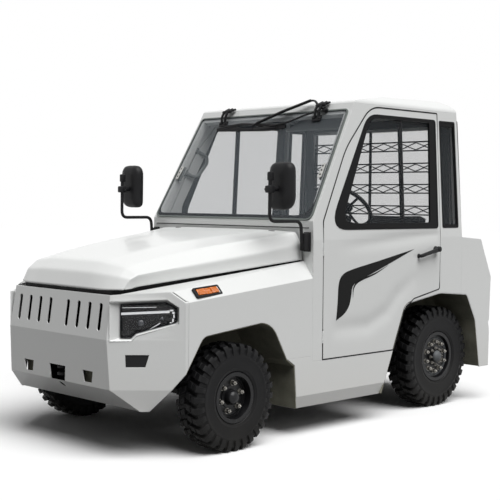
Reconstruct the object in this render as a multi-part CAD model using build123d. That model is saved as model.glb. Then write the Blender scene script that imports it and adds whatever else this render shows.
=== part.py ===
"""Airport baggage tug: a four-wheeled tow tractor with an enclosed two-seat cab.

Millimetres. The tug faces -Y, its left side is +X, and it stands on z = 0.
Every node is written to parts/NODE.step. Pieces that come in pairs are drawn
on the left side and mirrored.
"""
from build123d import *
import os
from math import cos, hypot, radians, sin, tan

os.makedirs("parts", exist_ok=True)

# ---------------------------------------------------------------- driving sizes
HALF_WIDTH = 737.0          # body side panels
FRONT_Y = -1620.0           # foremost line of the front cover
REAR_Y = 1534.0             # rearmost line of the rear body
FRONT_AXLE_Y = -964.0
REAR_AXLE_Y = 1006.0
WALL = 40.0                 # cab walls, pillars and doors
SHEET = 6.0                 # outer covers
GLASS = 6.0
GAP = 6.0                   # shut lines round the doors and the hood
SEAT_GAP = 0.3              # between pieces that rest on each other on two bodies
PIN_FIT = 0.05              # radial clearance of pins and shafts in their bores

FRONT_TYRE_R = 299.0        # to the flats of the lugs
FRONT_TYRE_W = 175.0
FRONT_RIM_R = 127.0
FRONT_WHEEL_X = HALF_WIDTH - 56      # middle of the tyre
REAR_TYRE_R = 338.0
REAR_TYRE_W = 190.0
REAR_RIM_R = 152.0
REAR_WHEEL_X = HALF_WIDTH - 153
KINGPIN_X = FRONT_WHEEL_X - 136
KINGPIN_R = 17.0
SPINDLE_R = 24.0

BELT_Z = 1150.0             # the cab side leans inwards above this line
ROOF_SIDE_Z = 2000.0
ROOF_HALF = HALF_WIDTH - 47
ROOF_SPLIT_Z = ROOF_SIDE_Z - 17      # joint between the cab frame and the roof skin
FLOOR_Z = 440.0
CAB_FRONT_Y = -320.0
CAB_REAR_Y = 1178.0
DECK_Z = 1130.0
SHUT_Z = 434.0              # top of the step boxes, and foot of the cab
STEP_FOOT_Z = 168.0
FENDER_FOOT_Z = 466.0        # lower edge of the front fender behind its arch
RAIL_X = 300.0              # middle of the frame rails
RAIL_W = 70.0
RAIL_LOW_Z = 300.0
RAIL_TOP_Z = 420.0
BEAM_TOP_Z = 480.0          # bumper beam behind the front cover
ARCH_IN_X = 330.0           # how far in the wheel arches reach
STEP_IN_X = 400.0           # inner edge of the step boxes
BEYOND_X = HALF_WIDTH + 163  # well clear of the side
TOP_Z = ROOF_SIDE_Z + 200   # well clear of the roof
SHIELD_FOOT_Z = BELT_Z + 112
SHIELD_HEAD_Y = CAB_FRONT_Y + 385
SHIELD_HEAD_Z = ROOF_SIDE_Z - 54
COVER_SIDE_Y = FRONT_Y + 313         # where the corner face meets the side
FRAME_FRONT_Y = FRONT_Y + 120        # front end of the frame rails
FRAME_REAR_Y = REAR_Y - 34           # rear end of the frame rails


# ---------------------------------------------------------------- helpers
def outline(rows, grow=0.0):
    """Closed face from rows of (u, v, corner radius), grown by an even margin."""
    points = [(row[0], row[1]) for row in rows]
    radii = [row[2] for row in rows]
    if any(radii):
        face = make_face(FilletPolyline(*points, radius=radii, close=True))
    else:
        face = make_face(Polyline(*points, close=True))
    if grow:
        face = make_face(offset(face.wire(), grow, kind=Kind.INTERSECTION))
    return face


def side_prism(rows, x_low, x_high, grow=0.0):
    """Outline in (y, z), drawn out from x_low to x_high."""
    return extrude(Plane.YZ.offset(x_low) * outline(rows, grow), x_high - x_low)


def front_prism(rows, y_low, y_high, grow=0.0):
    """Outline in (x, z), drawn out from y_low to y_high."""
    return extrude(Plane.XZ.offset(-y_high) * outline(rows, grow), y_high - y_low)


def plan_prism(rows, z_low, z_high, grow=0.0):
    """Outline in (x, y), drawn out from z_low to z_high."""
    return extrude(Plane.XY.offset(z_low) * outline(rows, grow), z_high - z_low)


def block(x_low, x_high, y_low, y_high, z_low, z_high):
    size = (x_high - x_low, y_high - y_low, z_high - z_low)
    middle = ((x_low + x_high) / 2, (y_low + y_high) / 2, (z_low + z_high) / 2)
    return Pos(*middle) * Box(*size)


def rod(start, end, radius):
    """Round bar between two points."""
    line = Vector(*end) - Vector(*start)
    return extrude(Plane(origin=start, z_dir=line) * Circle(radius), line.length)


def stack(rings):
    """Solid with straight sides through closed rings of 3-D points."""
    wires = [Wire.make_polygon([Vector(*point) for point in ring], close=True) for ring in rings]
    return Solid.make_loft(wires, ruled=True)


def chain(rings):
    """Stacks from each ring to the next, joined."""
    body = None
    for low, high in zip(rings, rings[1:]):
        slab = stack([low, high])
        body = slab if body is None else body.fuse(slab)
    return body


def flat_solid(faces):
    """Solid from flat faces, each a list of rings of points: its edge, then any hole in it."""
    flats = []
    for rings in faces:
        edge, *holes = [Wire.make_polygon([Vector(*point) for point in ring], close=True) for ring in rings]
        flats.append(Face(edge, holes))
    return Solid(Shell(flats))


def walls(low, high):
    """Four-sided faces from one ring of points to the next."""
    count = len(low)
    return [
        [(low[index], low[(index + 1) % count], high[(index + 1) % count], high[index])]
        for index in range(count)
    ]


def lathe_x(rows):
    """Solid turned about the X axis from rows of (x, radius)."""
    face = make_face(Polyline(*[(x, r) for x, r in rows], close=True))
    return revolve(face, Axis.X)


def mirrored(shape):
    return mirror(shape, about=Plane.YZ)


def solids_of(*shapes):
    return [solid for shape in shapes for solid in shape.solids()]


def group(*shapes):
    """Separate solids that share a node."""
    return Compound(children=solids_of(*shapes))


def both(shape):
    return group(shape, mirrored(shape))


def save(node, shape):
    shape.label = node
    export_step(shape, f"parts/{node}.step")


# ---------------------------------------------------------------- lines of the body
COVER_ROWS = (
    # z, half width of the flat front, front y, corner x, corner y
    (258.0, HALF_WIDTH - 169, FRONT_Y + 145, HALF_WIDTH - 133, FRONT_Y + 192),
    (375.0, HALF_WIDTH - 264, FRONT_Y + 15, HALF_WIDTH, COVER_SIDE_Y),
    (640.0, HALF_WIDTH - 274, FRONT_Y, HALF_WIDTH, COVER_SIDE_Y),
    (940.0, HALF_WIDTH - 291, FRONT_Y + 43, HALF_WIDTH, COVER_SIDE_Y),
)
FRONT_ARCH = (
    # y, z, corner radius
    (FRONT_AXLE_Y - 536, 160.0, 0.0),
    (FRONT_AXLE_Y - 216, 650.0, 70.0),
    (FRONT_AXLE_Y + 296, 702.0, 150.0),
    (FRONT_AXLE_Y + 431, 465.0, 0.0),
    (FRONT_AXLE_Y + 494, 424.0, 0.0),
    (FRONT_AXLE_Y + 515, 160.0, 0.0),
)
REAR_ARCH = (
    (REAR_AXLE_Y - 686, 150.0, 0.0),
    (REAR_AXLE_Y - 441, 725.0, 80.0),
    (REAR_AXLE_Y - 66, 778.0, 300.0),
    (REAR_AXLE_Y + 242, 752.0, 40.0),
    (REAR_AXLE_Y + 344, 575.0, 60.0),
    (REAR_AXLE_Y + 418, 150.0, 0.0),
)
# top of the side panel: inner edge beside the hood, shoulder and crease
SHOULDER_ROWS = (
    # y, inner x, inner z, shoulder x, shoulder z, crease z
    (FRONT_Y + 20, HALF_WIDTH - 266, 872.0, HALF_WIDTH - 56, 863.0, 809.0),
    (CAB_FRONT_Y, HALF_WIDTH - 77, 1026.0, HALF_WIDTH - 73, 1024.0, 926.0),
)
CAB_SIDE = (
    # outer side profile of the cab: y, z, corner radius
    (CAB_FRONT_Y, SHUT_Z, 0.0),
    (CAB_FRONT_Y, SHIELD_FOOT_Z, 0.0),
    (SHIELD_HEAD_Y, SHIELD_HEAD_Z, 0.0),
    (SHIELD_HEAD_Y + 27, ROOF_SIDE_Z, 40.0),
    (SHIELD_HEAD_Y + 355, ROOF_SIDE_Z + 44, 300.0),
    (CAB_REAR_Y - 158, ROOF_SIDE_Z + 58, 300.0),
    (CAB_REAR_Y - 30, ROOF_SIDE_Z + 30, 40.0),
    (CAB_REAR_Y, DECK_Z, 0.0),
    (CAB_REAR_Y, SHUT_Z, 0.0),
)
CAB_SIDE_INNER = (
    (CAB_FRONT_Y + WALL, FLOOR_Z - 50, 0.0),
    (CAB_FRONT_Y + WALL, SHIELD_FOOT_Z - 10, 0.0),
    (SHIELD_HEAD_Y + WALL, SHIELD_HEAD_Z - 10, 0.0),
    (SHIELD_HEAD_Y + 75, ROOF_SIDE_Z - 32, 0.0),
    (SHIELD_HEAD_Y + 355, ROOF_SIDE_Z + 6, 0.0),
    (CAB_REAR_Y - 158, ROOF_SIDE_Z + 18, 0.0),
    (CAB_REAR_Y - 66, ROOF_SIDE_Z - 6, 0.0),
    (CAB_REAR_Y - WALL, DECK_Z, 0.0),
    (CAB_REAR_Y - WALL, FLOOR_Z - 50, 0.0),
)
DOOR_FRONT_Y = CAB_FRONT_Y + 93
DOOR_REAR_Y = CAB_REAR_Y - 250
DOOR = (
    (DOOR_FRONT_Y, FLOOR_Z, 0.0),
    (DOOR_FRONT_Y, SHIELD_FOOT_Z, 60.0),
    (DOOR_FRONT_Y + 222, ROOF_SIDE_Z - 300, 500.0),
    (DOOR_FRONT_Y + 467, ROOF_SIDE_Z - 32, 200.0),
    (DOOR_REAR_Y, ROOF_SIDE_Z - 32, 12.0),
    (DOOR_REAR_Y, 806.0, 20.0),
    (REAR_AXLE_Y - 358, 756.0, 80.0),
    (REAR_AXLE_Y - 454, 690.0, 40.0),
    (REAR_AXLE_Y - 560, FLOOR_Z, 0.0),
)
WINDOW_FOOT_Z = BELT_Z + 60
WINDOW_HEAD_Z = ROOF_SIDE_Z - 76
DOOR_WINDOW = (
    (DOOR_FRONT_Y + 47, WINDOW_FOOT_Z, 100.0),
    (DOOR_FRONT_Y + 440, WINDOW_HEAD_Z, 150.0),
    (DOOR_REAR_Y - 20, WINDOW_HEAD_Z, 25.0),
    (DOOR_REAR_Y - 20, WINDOW_FOOT_Z, 25.0),
)
QUARTER_WINDOW = (
    (DOOR_REAR_Y + 30, WINDOW_FOOT_Z + 2, 8.0),
    (DOOR_REAR_Y + 22, WINDOW_HEAD_Z - 2, 8.0),
    (CAB_REAR_Y - 56, WINDOW_HEAD_Z - 2, 8.0),
    (CAB_REAR_Y - 42, WINDOW_FOOT_Z + 2, 8.0),
)
REAR_PROFILE = (
    # side profile of the rear body: y, z, corner radius
    (CAB_REAR_Y, 236.0, 0.0),
    (CAB_REAR_Y, 1146.0, 0.0),
    (REAR_Y - 127, 1128.0, 20.0),
    (REAR_Y - 110, 1090.0, 20.0),
    (REAR_Y, 863.0, 30.0),
    (REAR_Y - 12, 560.0, 0.0),
    (REAR_Y - 22, 545.0, 0.0),
    (REAR_Y - 10, 480.0, 0.0),
    (REAR_Y - 14, 236.0, 0.0),
)


def cab_front_view(inset):
    """Half outline of the cab seen from the front, both sides, moved in by inset."""
    side = HALF_WIDTH - inset
    top = ROOF_HALF - inset
    crown = ROOF_SIDE_Z + 70 - inset
    low = FLOOR_Z - 60
    half = ((side, low, 0), (side, BELT_Z, 0), (top, ROOF_SIDE_Z, 50.0), (top - 70, crown, 60.0))
    return half + tuple((-x, z, r) for x, z, r in reversed(half))


# ---------------------------------------------------------------- front cover
def cover_body(inset):
    """Solid inside the front cover, its faces moved in by inset."""
    rear_y = COVER_SIDE_Y + 20 + inset * 5
    rings = []
    for z, half, front, corner_x, corner_y in COVER_ROWS:
        edge = half - inset * 0.4
        rings.append([
            (-corner_x + inset, rear_y, z), (-corner_x + inset, corner_y + inset * 0.5, z),
            (-edge, front + inset, z), (edge, front + inset, z),
            (corner_x - inset, corner_y + inset * 0.5, z), (corner_x - inset, rear_y, z),
        ])
    return chain(rings)


def above_shoulder():
    """Space over the fenders' tops and over the ledge below the hood."""
    rings = []
    for y, inner_x, inner_z, shoulder_x, shoulder_z, crease_z in SHOULDER_ROWS:
        slope = (shoulder_z - crease_z) / (HALF_WIDTH - shoulder_x)
        out_x = HALF_WIDTH + 60
        out_z = crease_z - slope * 60
        half = ((0.0, inner_z), (inner_x, inner_z), (shoulder_x, shoulder_z), (out_x, out_z))
        rings.append([(x, y, z) for x, z in half] + [(out_x, y, TOP_Z), (0.0, y, TOP_Z)])
    return chain(rings)


SLOT_PITCH = 99.5               # between the grille slots of one side
SLOT_FIRST_X = 84.0             # middle of the slot next to the middle
SLOT_W = 30.0
SLOT_LOW_Z = 683.0
SLOT_TOP_Z = 828.0
SLOT_ROUND = SLOT_W / 2 - 1
SLOT_COUNT = 4                  # on each side of the middle


def slot(middle):
    half = SLOT_W / 2
    rows = ((middle - half, SLOT_LOW_Z, SLOT_ROUND), (middle - half, SLOT_TOP_Z, SLOT_ROUND),
            (middle + half, SLOT_TOP_Z, SLOT_ROUND), (middle + half, SLOT_LOW_Z, SLOT_ROUND))
    return front_prism(rows, FRONT_Y - 10, FRONT_Y + 60)


slots = [
    slot(side * (SLOT_FIRST_X + index * SLOT_PITCH))
    for side in (-1, 1)
    for index in range(SLOT_COUNT)
]
LOW_CUTS = (
    # middle x, half width at the top, half width at the foot, low z, high z
    (-282.0, 48.0, 34.0, 395.0, 458.0),
    (0.0, 76.0, 70.0, 395.0, 460.0),
    (282.0, 48.0, 34.0, 395.0, 458.0),
)
CORNER_START = (HALF_WIDTH - 264, FRONT_Y)
CORNER_RUN = (HALF_WIDTH - CORNER_START[0], COVER_SIDE_Y - CORNER_START[1])
COVER_CORNER = Plane(
    origin=(*CORNER_START, 0.0), x_dir=(*CORNER_RUN, 0.0), z_dir=(CORNER_RUN[1], -CORNER_RUN[0], 0.0)
)   # the face across the front corner; its x runs back along the face, its y up
HEADLAMP = (
    (8.0, 634.0, 0.0),
    (8.0, 840.0, 0.0),
    (312.0, 856.0, 0.0),
    (374.0, 813.0, 0.0),
    (374.0, 726.0, 0.0),
    (152.0, 663.0, 0.0),
    (125.0, 634.0, 0.0),
)
LAMP_GLASS = (
    (64.0, 650.0, 0.0),
    (64.0, 828.0, 0.0),
    (306.0, 838.0, 0.0),
    (364.0, 808.0, 0.0),
    (364.0, 734.0, 0.0),
    (148.0, 676.0, 0.0),
    (122.0, 650.0, 0.0),
)
CORNER_RECESS = ((95.0, 497.0, 0.0), (92.0, 562.0, 0.0), (218.0, 562.0, 0.0), (198.0, 497.0, 0.0))
LAMP_DEPTH = 60.0
PANEL_HALF = 68.0            # half width of the front cover's middle panels
FRONT_TOW_Y = FRONT_Y + 48           # bore of the front tow bracket
FRONT_TOW_R = 13.0
TOW_PIN_WAY_R = FRONT_TOW_R + 6      # hole in the cover's chin that lets its pin up


def corner_prism(rows, outside, inside, grow=0.0):
    """Outline on the corner face, drawn from outside it to behind it."""
    start = COVER_CORNER.offset(outside)
    return extrude(start * outline(rows, grow), -(outside + inside))


front_arch = side_prism(FRONT_ARCH, ARCH_IN_X, BEYOND_X)
rear_arch = side_prism(REAR_ARCH, ARCH_IN_X, BEYOND_X)
COVER_FOOT_Z = COVER_ROWS[0][0]
cover = cover_body(0) - cover_body(SHEET)
cover -= block(-550, 550, FRONT_Y + 140, COVER_SIDE_Y + 100, COVER_FOOT_Z - 14, COVER_FOOT_Z + 4)
cover -= above_shoulder() + mirrored(above_shoulder())
cover -= slots
for middle, top_half, foot_half, low, high in LOW_CUTS:
    rows = ((middle - foot_half, low, 0), (middle - top_half, high, 0),
            (middle + top_half, high, 0), (middle + foot_half, low, 0))
    cover -= front_prism(rows, FRONT_Y - 20, FRONT_Y + 80)
cover -= rod((0, FRONT_TOW_Y, COVER_FOOT_Z), (0, FRONT_TOW_Y, LOW_CUTS[1][3]), TOW_PIN_WAY_R)
lamp_opening = corner_prism(HEADLAMP, 20, 50)
recess = corner_prism(CORNER_RECESS, 20, 50)
for cut in (lamp_opening, recess, front_arch):
    cover = cover - cut - mirrored(cut)
middle_zone = block(-PANEL_HALF, PANEL_HALF, FRONT_Y - 50, 0, 0, TOP_Z)
low_panel, grille_panel = sorted((cover & middle_zone).solids(), key=lambda solid: solid.center().Z)
save("tow_pin_panel", low_panel)
save("front_cover", group(cover - middle_zone, grille_panel))

lamp = corner_prism(LAMP_GLASS, -8, LAMP_DEPTH + 1)
lamp_tray = corner_prism(HEADLAMP, -SHEET, LAMP_DEPTH + SHEET)
lamp_tray -= corner_prism(HEADLAMP, 0, LAMP_DEPTH, grow=-3)
save("headlamps", both(lamp + lamp_tray))

# ---------------------------------------------------------------- fenders
def fender_ring(row, inset):
    y, inner_x, inner_z, shoulder_x, shoulder_z, crease_z = row
    side = HALF_WIDTH - inset
    low = 330.0 - inset * 10
    if inset:
        inner_x -= 40
    return [
        (inner_x, y, low), (inner_x, y, inner_z - inset),
        (shoulder_x - inset * 0.3, y, shoulder_z - inset),
        (side, y, crease_z - inset * 0.5), (side, y, low),
    ]


fender_body = chain([fender_ring(row, 0) for row in SHOULDER_ROWS])
fender = fender_body - chain([fender_ring(row, SHEET) for row in SHOULDER_ROWS])
lap_x = HALF_WIDTH - SHEET - 3       # the fender starts inside the cover's side, and then comes flush
lap_y = COVER_SIDE_Y + 21
behind_cover = plan_prism(
    ((RAIL_X, FRONT_Y + 42, 0), (HALF_WIDTH - 297, FRONT_Y + 42, 0), (lap_x, COVER_SIDE_Y + 14, 0),
     (lap_x, lap_y, 0), (HALF_WIDTH, lap_y, 0), (HALF_WIDTH, CAB_FRONT_Y, 0), (RAIL_X, CAB_FRONT_Y, 0)),
    200, 1200)
fender = fender & behind_cover
fender -= front_arch
fender -= block(RAIL_X, BEYOND_X, FRONT_AXLE_Y + 404, 0, 200, FENDER_FOOT_Z)
fender = max(fender.solids(), key=lambda solid: solid.volume)
save("fenders", both(fender))

# ---------------------------------------------------------------- hood
HOOD_ROWS = (
    # y, then in from the side to the gap, fold, shoulder, valley and crest, then their heights
    # and the height of the middle
    (FRONT_Y + 20, (268, 250, 339, 340, 500), (898, 941, 990, 991, 990, 990)),
    (FRONT_Y + 158, (249, 230, 328, 338, 500), (913, 961, 1007, 1005, 1033, 1036)),
    (-914.0, (166, 161, 237, 343, 420), (970, 1040, 1110, 1122, 1141, 1148)),
    (CAB_FRONT_Y - 2 * GAP, (78, 87, 133, 327, 367), (1033, 1125, 1198, 1204, 1205, 1206)),
)
HOOD_NOSE = (
    # z, half width of the nose, back from the front to it, corner in from the side and back,
    # and how far back the sloping corner reaches the side
    (880.0, HALF_WIDTH - 365, 22.0, 256.0, 87.0, 253.0),
    (1300.0, HALF_WIDTH - 254, 335.0, 183.0, 379.0, 498.0),
)
HOOD_SHEET = 5.0


def hood_ring(row, inset):
    y, insets, heights = row
    gap_x, fold_x, shoulder_x, valley_x, crest_x = [HALF_WIDTH - value for value in insets]
    gap_z, fold_z, shoulder_z, valley_z, crest_z, middle_z = heights
    foot_z = gap_z - (60 if inset else 0)
    half = [
        (gap_x - inset, foot_z), (fold_x - inset, fold_z - inset * 0.4),
        (shoulder_x - inset * 0.6, shoulder_z - inset), (valley_x, valley_z - inset),
        (crest_x, crest_z - inset), (0.0, middle_z - inset),
    ]
    left = [(x, y, z) for x, z in half]
    right = [(-x, y, z) for x, z in reversed(half[:-1])]
    return left + right


def nose_body(inset):
    rings = []
    for z, half, nose_back, corner_in, corner_back, far_back in HOOD_NOSE:
        far_x = HALF_WIDTH + 23 - inset
        left = [
            (half, FRONT_Y + nose_back + inset),
            (HALF_WIDTH - corner_in - inset * 0.5, FRONT_Y + corner_back + inset),
            (far_x, FRONT_Y + far_back + inset), (far_x, CAB_FRONT_Y),
        ]
        rings.append([(x, y, z) for x, y in left] + [(-x, y, z) for x, y in reversed(left)])
    return chain(rings)


hood_outer = chain([hood_ring(row, 0) for row in HOOD_ROWS]) & nose_body(0)
hood_inner = chain([hood_ring(row, HOOD_SHEET) for row in HOOD_ROWS]) & nose_body(HOOD_SHEET)
hood = hood_outer - hood_inner
HINGE_Y = CAB_FRONT_Y - 40.0     # hood hinge axis, just under the skin at its rear edge
HINGE_Z = 1184.0
HINGE_R = 9.0
HINGE_PIN_R = 5.0
HINGE_X = 430.0
HINGE_HALF = 24.0
for side in (-1, 1):
    middle = side * HINGE_X
    ear = rod((middle - HINGE_HALF, HINGE_Y, HINGE_Z), (middle + HINGE_HALF, HINGE_Y, HINGE_Z), HINGE_R)
    ear += block(middle - HINGE_HALF, middle + HINGE_HALF, HINGE_Y - 7, HINGE_Y + 7, HINGE_Z, HINGE_Z + 13)
    ear -= rod((middle - 60, HINGE_Y, HINGE_Z), (middle + 60, HINGE_Y, HINGE_Z), HINGE_PIN_R + PIN_FIT)
    hood += ear
save("hood", hood)

# ---------------------------------------------------------------- cab
def cab_front_prism(inset):
    return front_prism(cab_front_view(inset), CAB_FRONT_Y - 1, CAB_REAR_Y + 1)


cab_block = side_prism(CAB_SIDE, -BEYOND_X, BEYOND_X) & cab_front_prism(0)
cab_space = side_prism(CAB_SIDE_INNER, -BEYOND_X, BEYOND_X) & cab_front_prism(WALL)
shell = cab_block - cab_space
door_hole = side_prism(DOOR, STEP_IN_X, BEYOND_X, grow=GAP)
door_body = shell & side_prism(DOOR, STEP_IN_X, BEYOND_X)
door_body -= side_prism(REAR_ARCH, ARCH_IN_X, BEYOND_X, grow=GAP)
quarter_hole = side_prism(QUARTER_WINDOW, STEP_IN_X, BEYOND_X)
shield_run = SHIELD_HEAD_Y - CAB_FRONT_Y
shield_rise = SHIELD_HEAD_Z - SHIELD_FOOT_Z
shield_length = hypot(shield_run, shield_rise)
SHIELD = Plane(
    origin=(0.0, CAB_FRONT_Y, SHIELD_FOOT_Z), x_dir=(1, 0, 0), z_dir=(0, -shield_rise, shield_run)
)   # the slope of the windshield: x across, y up the slope, z out of the cab
SHIELD_FOOT_HALF = HALF_WIDTH - 23
SHIELD_HEAD_HALF = HALF_WIDTH - 69
SHIELD_GLASS = (
    (-SHIELD_FOOT_HALF, 6.0, 45.0), (SHIELD_FOOT_HALF, 6.0, 45.0),
    (SHIELD_HEAD_HALF, shield_length - 4, 30.0), (-SHIELD_HEAD_HALF, shield_length - 4, 30.0),
)
shield_hole = extrude(SHIELD.offset(30) * outline(SHIELD_GLASS, grow=-30), -200)
REAR_FACE = Plane(
    origin=(0.0, CAB_REAR_Y, DECK_Z), x_dir=(-1, 0, 0), z_dir=(0, 900.0, 30.0)
)   # the rear wall of the cab above the deck: x across, y up, z rearwards
REAR_FOOT_HALF = HALF_WIDTH - 97
REAR_HEAD_HALF = HALF_WIDTH - 131
REAR_GLASS = (
    (-REAR_FOOT_HALF, 66.0, 20.0), (REAR_FOOT_HALF, 66.0, 20.0),
    (REAR_HEAD_HALF, 772.0, 20.0), (-REAR_HEAD_HALF, 772.0, 20.0),
)
GLASS_LAP = 20.0             # how far the rear glass overlaps the edge of its opening
FRAME_W = 22.0               # raised frame round the rear glass
FRAME_H = 14.0
rear_hole = extrude(REAR_FACE.offset(30) * outline(REAR_GLASS, grow=-GLASS_LAP), -120)
rear_frame = outline(REAR_GLASS, grow=FRAME_W) - outline(REAR_GLASS, grow=SEAT_GAP)
rear_frame = extrude(REAR_FACE * rear_frame, FRAME_H)
roof = shell & block(-BEYOND_X, BEYOND_X, CAB_FRONT_Y - 80, CAB_REAR_Y + 80, ROOF_SPLIT_Z, TOP_Z)
frame_body = shell & block(-BEYOND_X, BEYOND_X, CAB_FRONT_Y - 80, CAB_REAR_Y + 80, 400, ROOF_SPLIT_Z)
frame_body += rear_frame
frame_body = frame_body - door_hole - mirrored(door_hole) - quarter_hole - mirrored(quarter_hole)
frame_body = frame_body - shield_hole - rear_hole - rear_arch - mirrored(rear_arch)
COWL_HALF = HALF_WIDTH - 47
COWL_TOP_Z = 1240.0
cowl_zone = block(-COWL_HALF, COWL_HALF, CAB_FRONT_Y - 80, CAB_FRONT_Y + WALL + 1, 400, COWL_TOP_Z)
cowl = frame_body & cowl_zone
frame_body -= cowl_zone
for side in (-1, 1):
    for offset_x in (-HINGE_HALF - 13, HINGE_HALF + 3):
        low = side * HINGE_X + offset_x
        cowl += block(low, low + 10, HINGE_Y - 8, CAB_FRONT_Y, HINGE_Z - 60, HINGE_Z - 40)
        cowl += block(low, low + 10, HINGE_Y - 8, HINGE_Y + 8, HINGE_Z - 60, HINGE_Z)
        cowl += rod((low, HINGE_Y, HINGE_Z), (low + 10, HINGE_Y, HINGE_Z), 6.5)
    pin_x = (side * HINGE_X - 36, side * HINGE_X + 36)
    cowl += rod((pin_x[0], HINGE_Y, HINGE_Z), (pin_x[1], HINGE_Y, HINGE_Z), HINGE_PIN_R)
save("roof", roof)

# door hinges: a short knuckle on the door between two on the cab, round one pin
DOOR_HINGE_X = HALF_WIDTH + 1.5
DOOR_HINGE_Y = DOOR_FRONT_Y - GAP / 2
KNUCKLE_R = 5.5
DOOR_PIN_R = 2.5
KNUCKLE = 24.0


def upright(z_low, z_high, radius):
    return rod((DOOR_HINGE_X, DOOR_HINGE_Y, z_low), (DOOR_HINGE_X, DOOR_HINGE_Y, z_high), radius)


door = door_body - side_prism(DOOR_WINDOW, STEP_IN_X, BEYOND_X)
left_frame = frame_body
for z in (560.0, 1080.0):
    top = z + KNUCKLE
    for low in (z - KNUCKLE, top):
        door -= upright(low - 0.5, low + KNUCKLE + 0.5, KNUCKLE_R + 1)
    left_frame -= upright(z - 0.5, top + 0.5, KNUCKLE_R + 1)
    left_frame -= mirrored(upright(z - 0.5, top + 0.5, KNUCKLE_R + 1))
    post = upright(z - KNUCKLE, z - 0.3, KNUCKLE_R) + upright(top + 0.3, top + KNUCKLE, KNUCKLE_R)
    post += upright(z - KNUCKLE, top + KNUCKLE, DOOR_PIN_R)
    left_frame = left_frame + post + mirrored(post)
    door += upright(z, top, KNUCKLE_R) - upright(z - 1, top + 1, DOOR_PIN_R + PIN_FIT)
save("cab_frame", left_frame)
save("cowl", cowl)
save("door_left", door)
save("door_right", mirrored(door))


def side_glass(rows, x_mid_in):
    """Flat glass that follows the lean of the cab side, x_mid_in below its surface."""
    leaf = cab_block & side_prism(rows, STEP_IN_X, BEYOND_X)
    return (leaf & cab_front_prism(x_mid_in)) - cab_front_prism(x_mid_in + GLASS)


door_glass = side_glass(DOOR_WINDOW, 10)
save("door_glass_left", door_glass)
save("door_glass_right", mirrored(door_glass))
quarter_glass = side_glass(QUARTER_WINDOW, 6)
rear_glass = extrude(REAR_FACE.offset(0.5) * outline(REAR_GLASS), GLASS)
save("side_and_rear_glass", group(quarter_glass, mirrored(quarter_glass), rear_glass))
windshield = extrude(SHIELD.offset(0.5) * outline(SHIELD_GLASS), GLASS)
save("windshield", windshield)

# door handles: a pull bar on two feet, with the lock beside its rear end
HANDLE_X = HALF_WIDTH + 28
HANDLE_START = (672.0, 1034.0)
HANDLE_END = (900.0, 1080.0)
LOCK_AT = (880.0, 1072.0)
handle = rod((HANDLE_X, *HANDLE_START), (HANDLE_X, *HANDLE_END), 10)
handle += Pos(HANDLE_X, *HANDLE_START) * Sphere(10) + Pos(HANDLE_X, *HANDLE_END) * Sphere(10)
for y, z in ((690.0, 1037.6), LOCK_AT):
    handle += rod((HALF_WIDTH, y, z), (HANDLE_X, y, z), 9)
handle += rod((HALF_WIDTH, *LOCK_AT), (HALF_WIDTH + 8, *LOCK_AT), 24)
handle += rod((HALF_WIDTH, *LOCK_AT), (HANDLE_X + 12, *LOCK_AT), 13)
save("door_handle_left", handle)
save("door_handle_right", mirrored(handle))

# ---------------------------------------------------------------- rear body and steps
rear_outer = side_prism(REAR_PROFILE, -HALF_WIDTH, HALF_WIDTH)
rear_inner = side_prism(REAR_PROFILE, -HALF_WIDTH + SHEET, HALF_WIDTH - SHEET, grow=-SHEET)
inside_x = HALF_WIDTH - SHEET
rear_inner += block(-inside_x, inside_x, CAB_REAR_Y + SHEET, FRAME_REAR_Y, 200, 300)
rear_inner += block(-inside_x, inside_x, CAB_REAR_Y - 1, CAB_REAR_Y + SHEET + 1, 200, 1100)
HITCH_CUT = 135.0
TAIL_X = HALF_WIDTH - 137
tail_lamp = block(TAIL_X - 45, TAIL_X + 45, REAR_Y - 44, REAR_Y + 4, 650, 790)
rear_body = rear_outer - rear_inner - rear_arch - mirrored(rear_arch)
rear_body -= block(-HITCH_CUT, HITCH_CUT, FRAME_REAR_Y - 20, REAR_Y + 66, 200, 470)
rear_body = rear_body - tail_lamp - mirrored(tail_lamp)
save("tail_lamps", both(tail_lamp))
save("rear_body", rear_body)

STEP = (
    # side profile of the step box: y, z
    (FRONT_AXLE_Y + 516, STEP_FOOT_Z, 0.0),
    (FRONT_AXLE_Y + 496, 426.0, 0.0),
    (FRONT_AXLE_Y + 436, FENDER_FOOT_Z, 0.0),
    (CAB_FRONT_Y, FENDER_FOOT_Z, 0.0),
    (CAB_FRONT_Y, SHUT_Z, 0.0),
    (REAR_AXLE_Y - 556, SHUT_Z, 0.0),
    (REAR_AXLE_Y - 679, STEP_FOOT_Z, 0.0),
)
STEP_FOLD_Z = 240.0          # below this line the side turns in
STEP_FOLD_IN = 22.0


def step_body(inset):
    """Step box seen from the front, with its faces moved in by inset."""
    side = HALF_WIDTH - inset
    view = ((STEP_IN_X - inset, STEP_FOOT_Z, 0), (side - STEP_FOLD_IN, STEP_FOOT_Z, 0),
            (side, STEP_FOLD_Z, 0), (side, FENDER_FOOT_Z, 0), (STEP_IN_X - inset, FENDER_FOOT_Z, 0))
    lengthwise = side_prism(STEP, STEP_IN_X - inset, side, grow=-inset)
    return lengthwise & front_prism(view, FRONT_AXLE_Y, REAR_AXLE_Y)


step = step_body(0) - step_body(SHEET)
step = step - front_arch - rear_arch
save("step_boxes", both(step))

# wheel-arch liners, bent along the arches
LINER = 4.0
FRONT_LINER_X = STEP_IN_X + 2
REAR_LINER_X = STEP_IN_X + 32
LINER_LOW_Z = RAIL_TOP_Z + 5
LINER_OUT_X = HALF_WIDTH - 2


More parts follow.
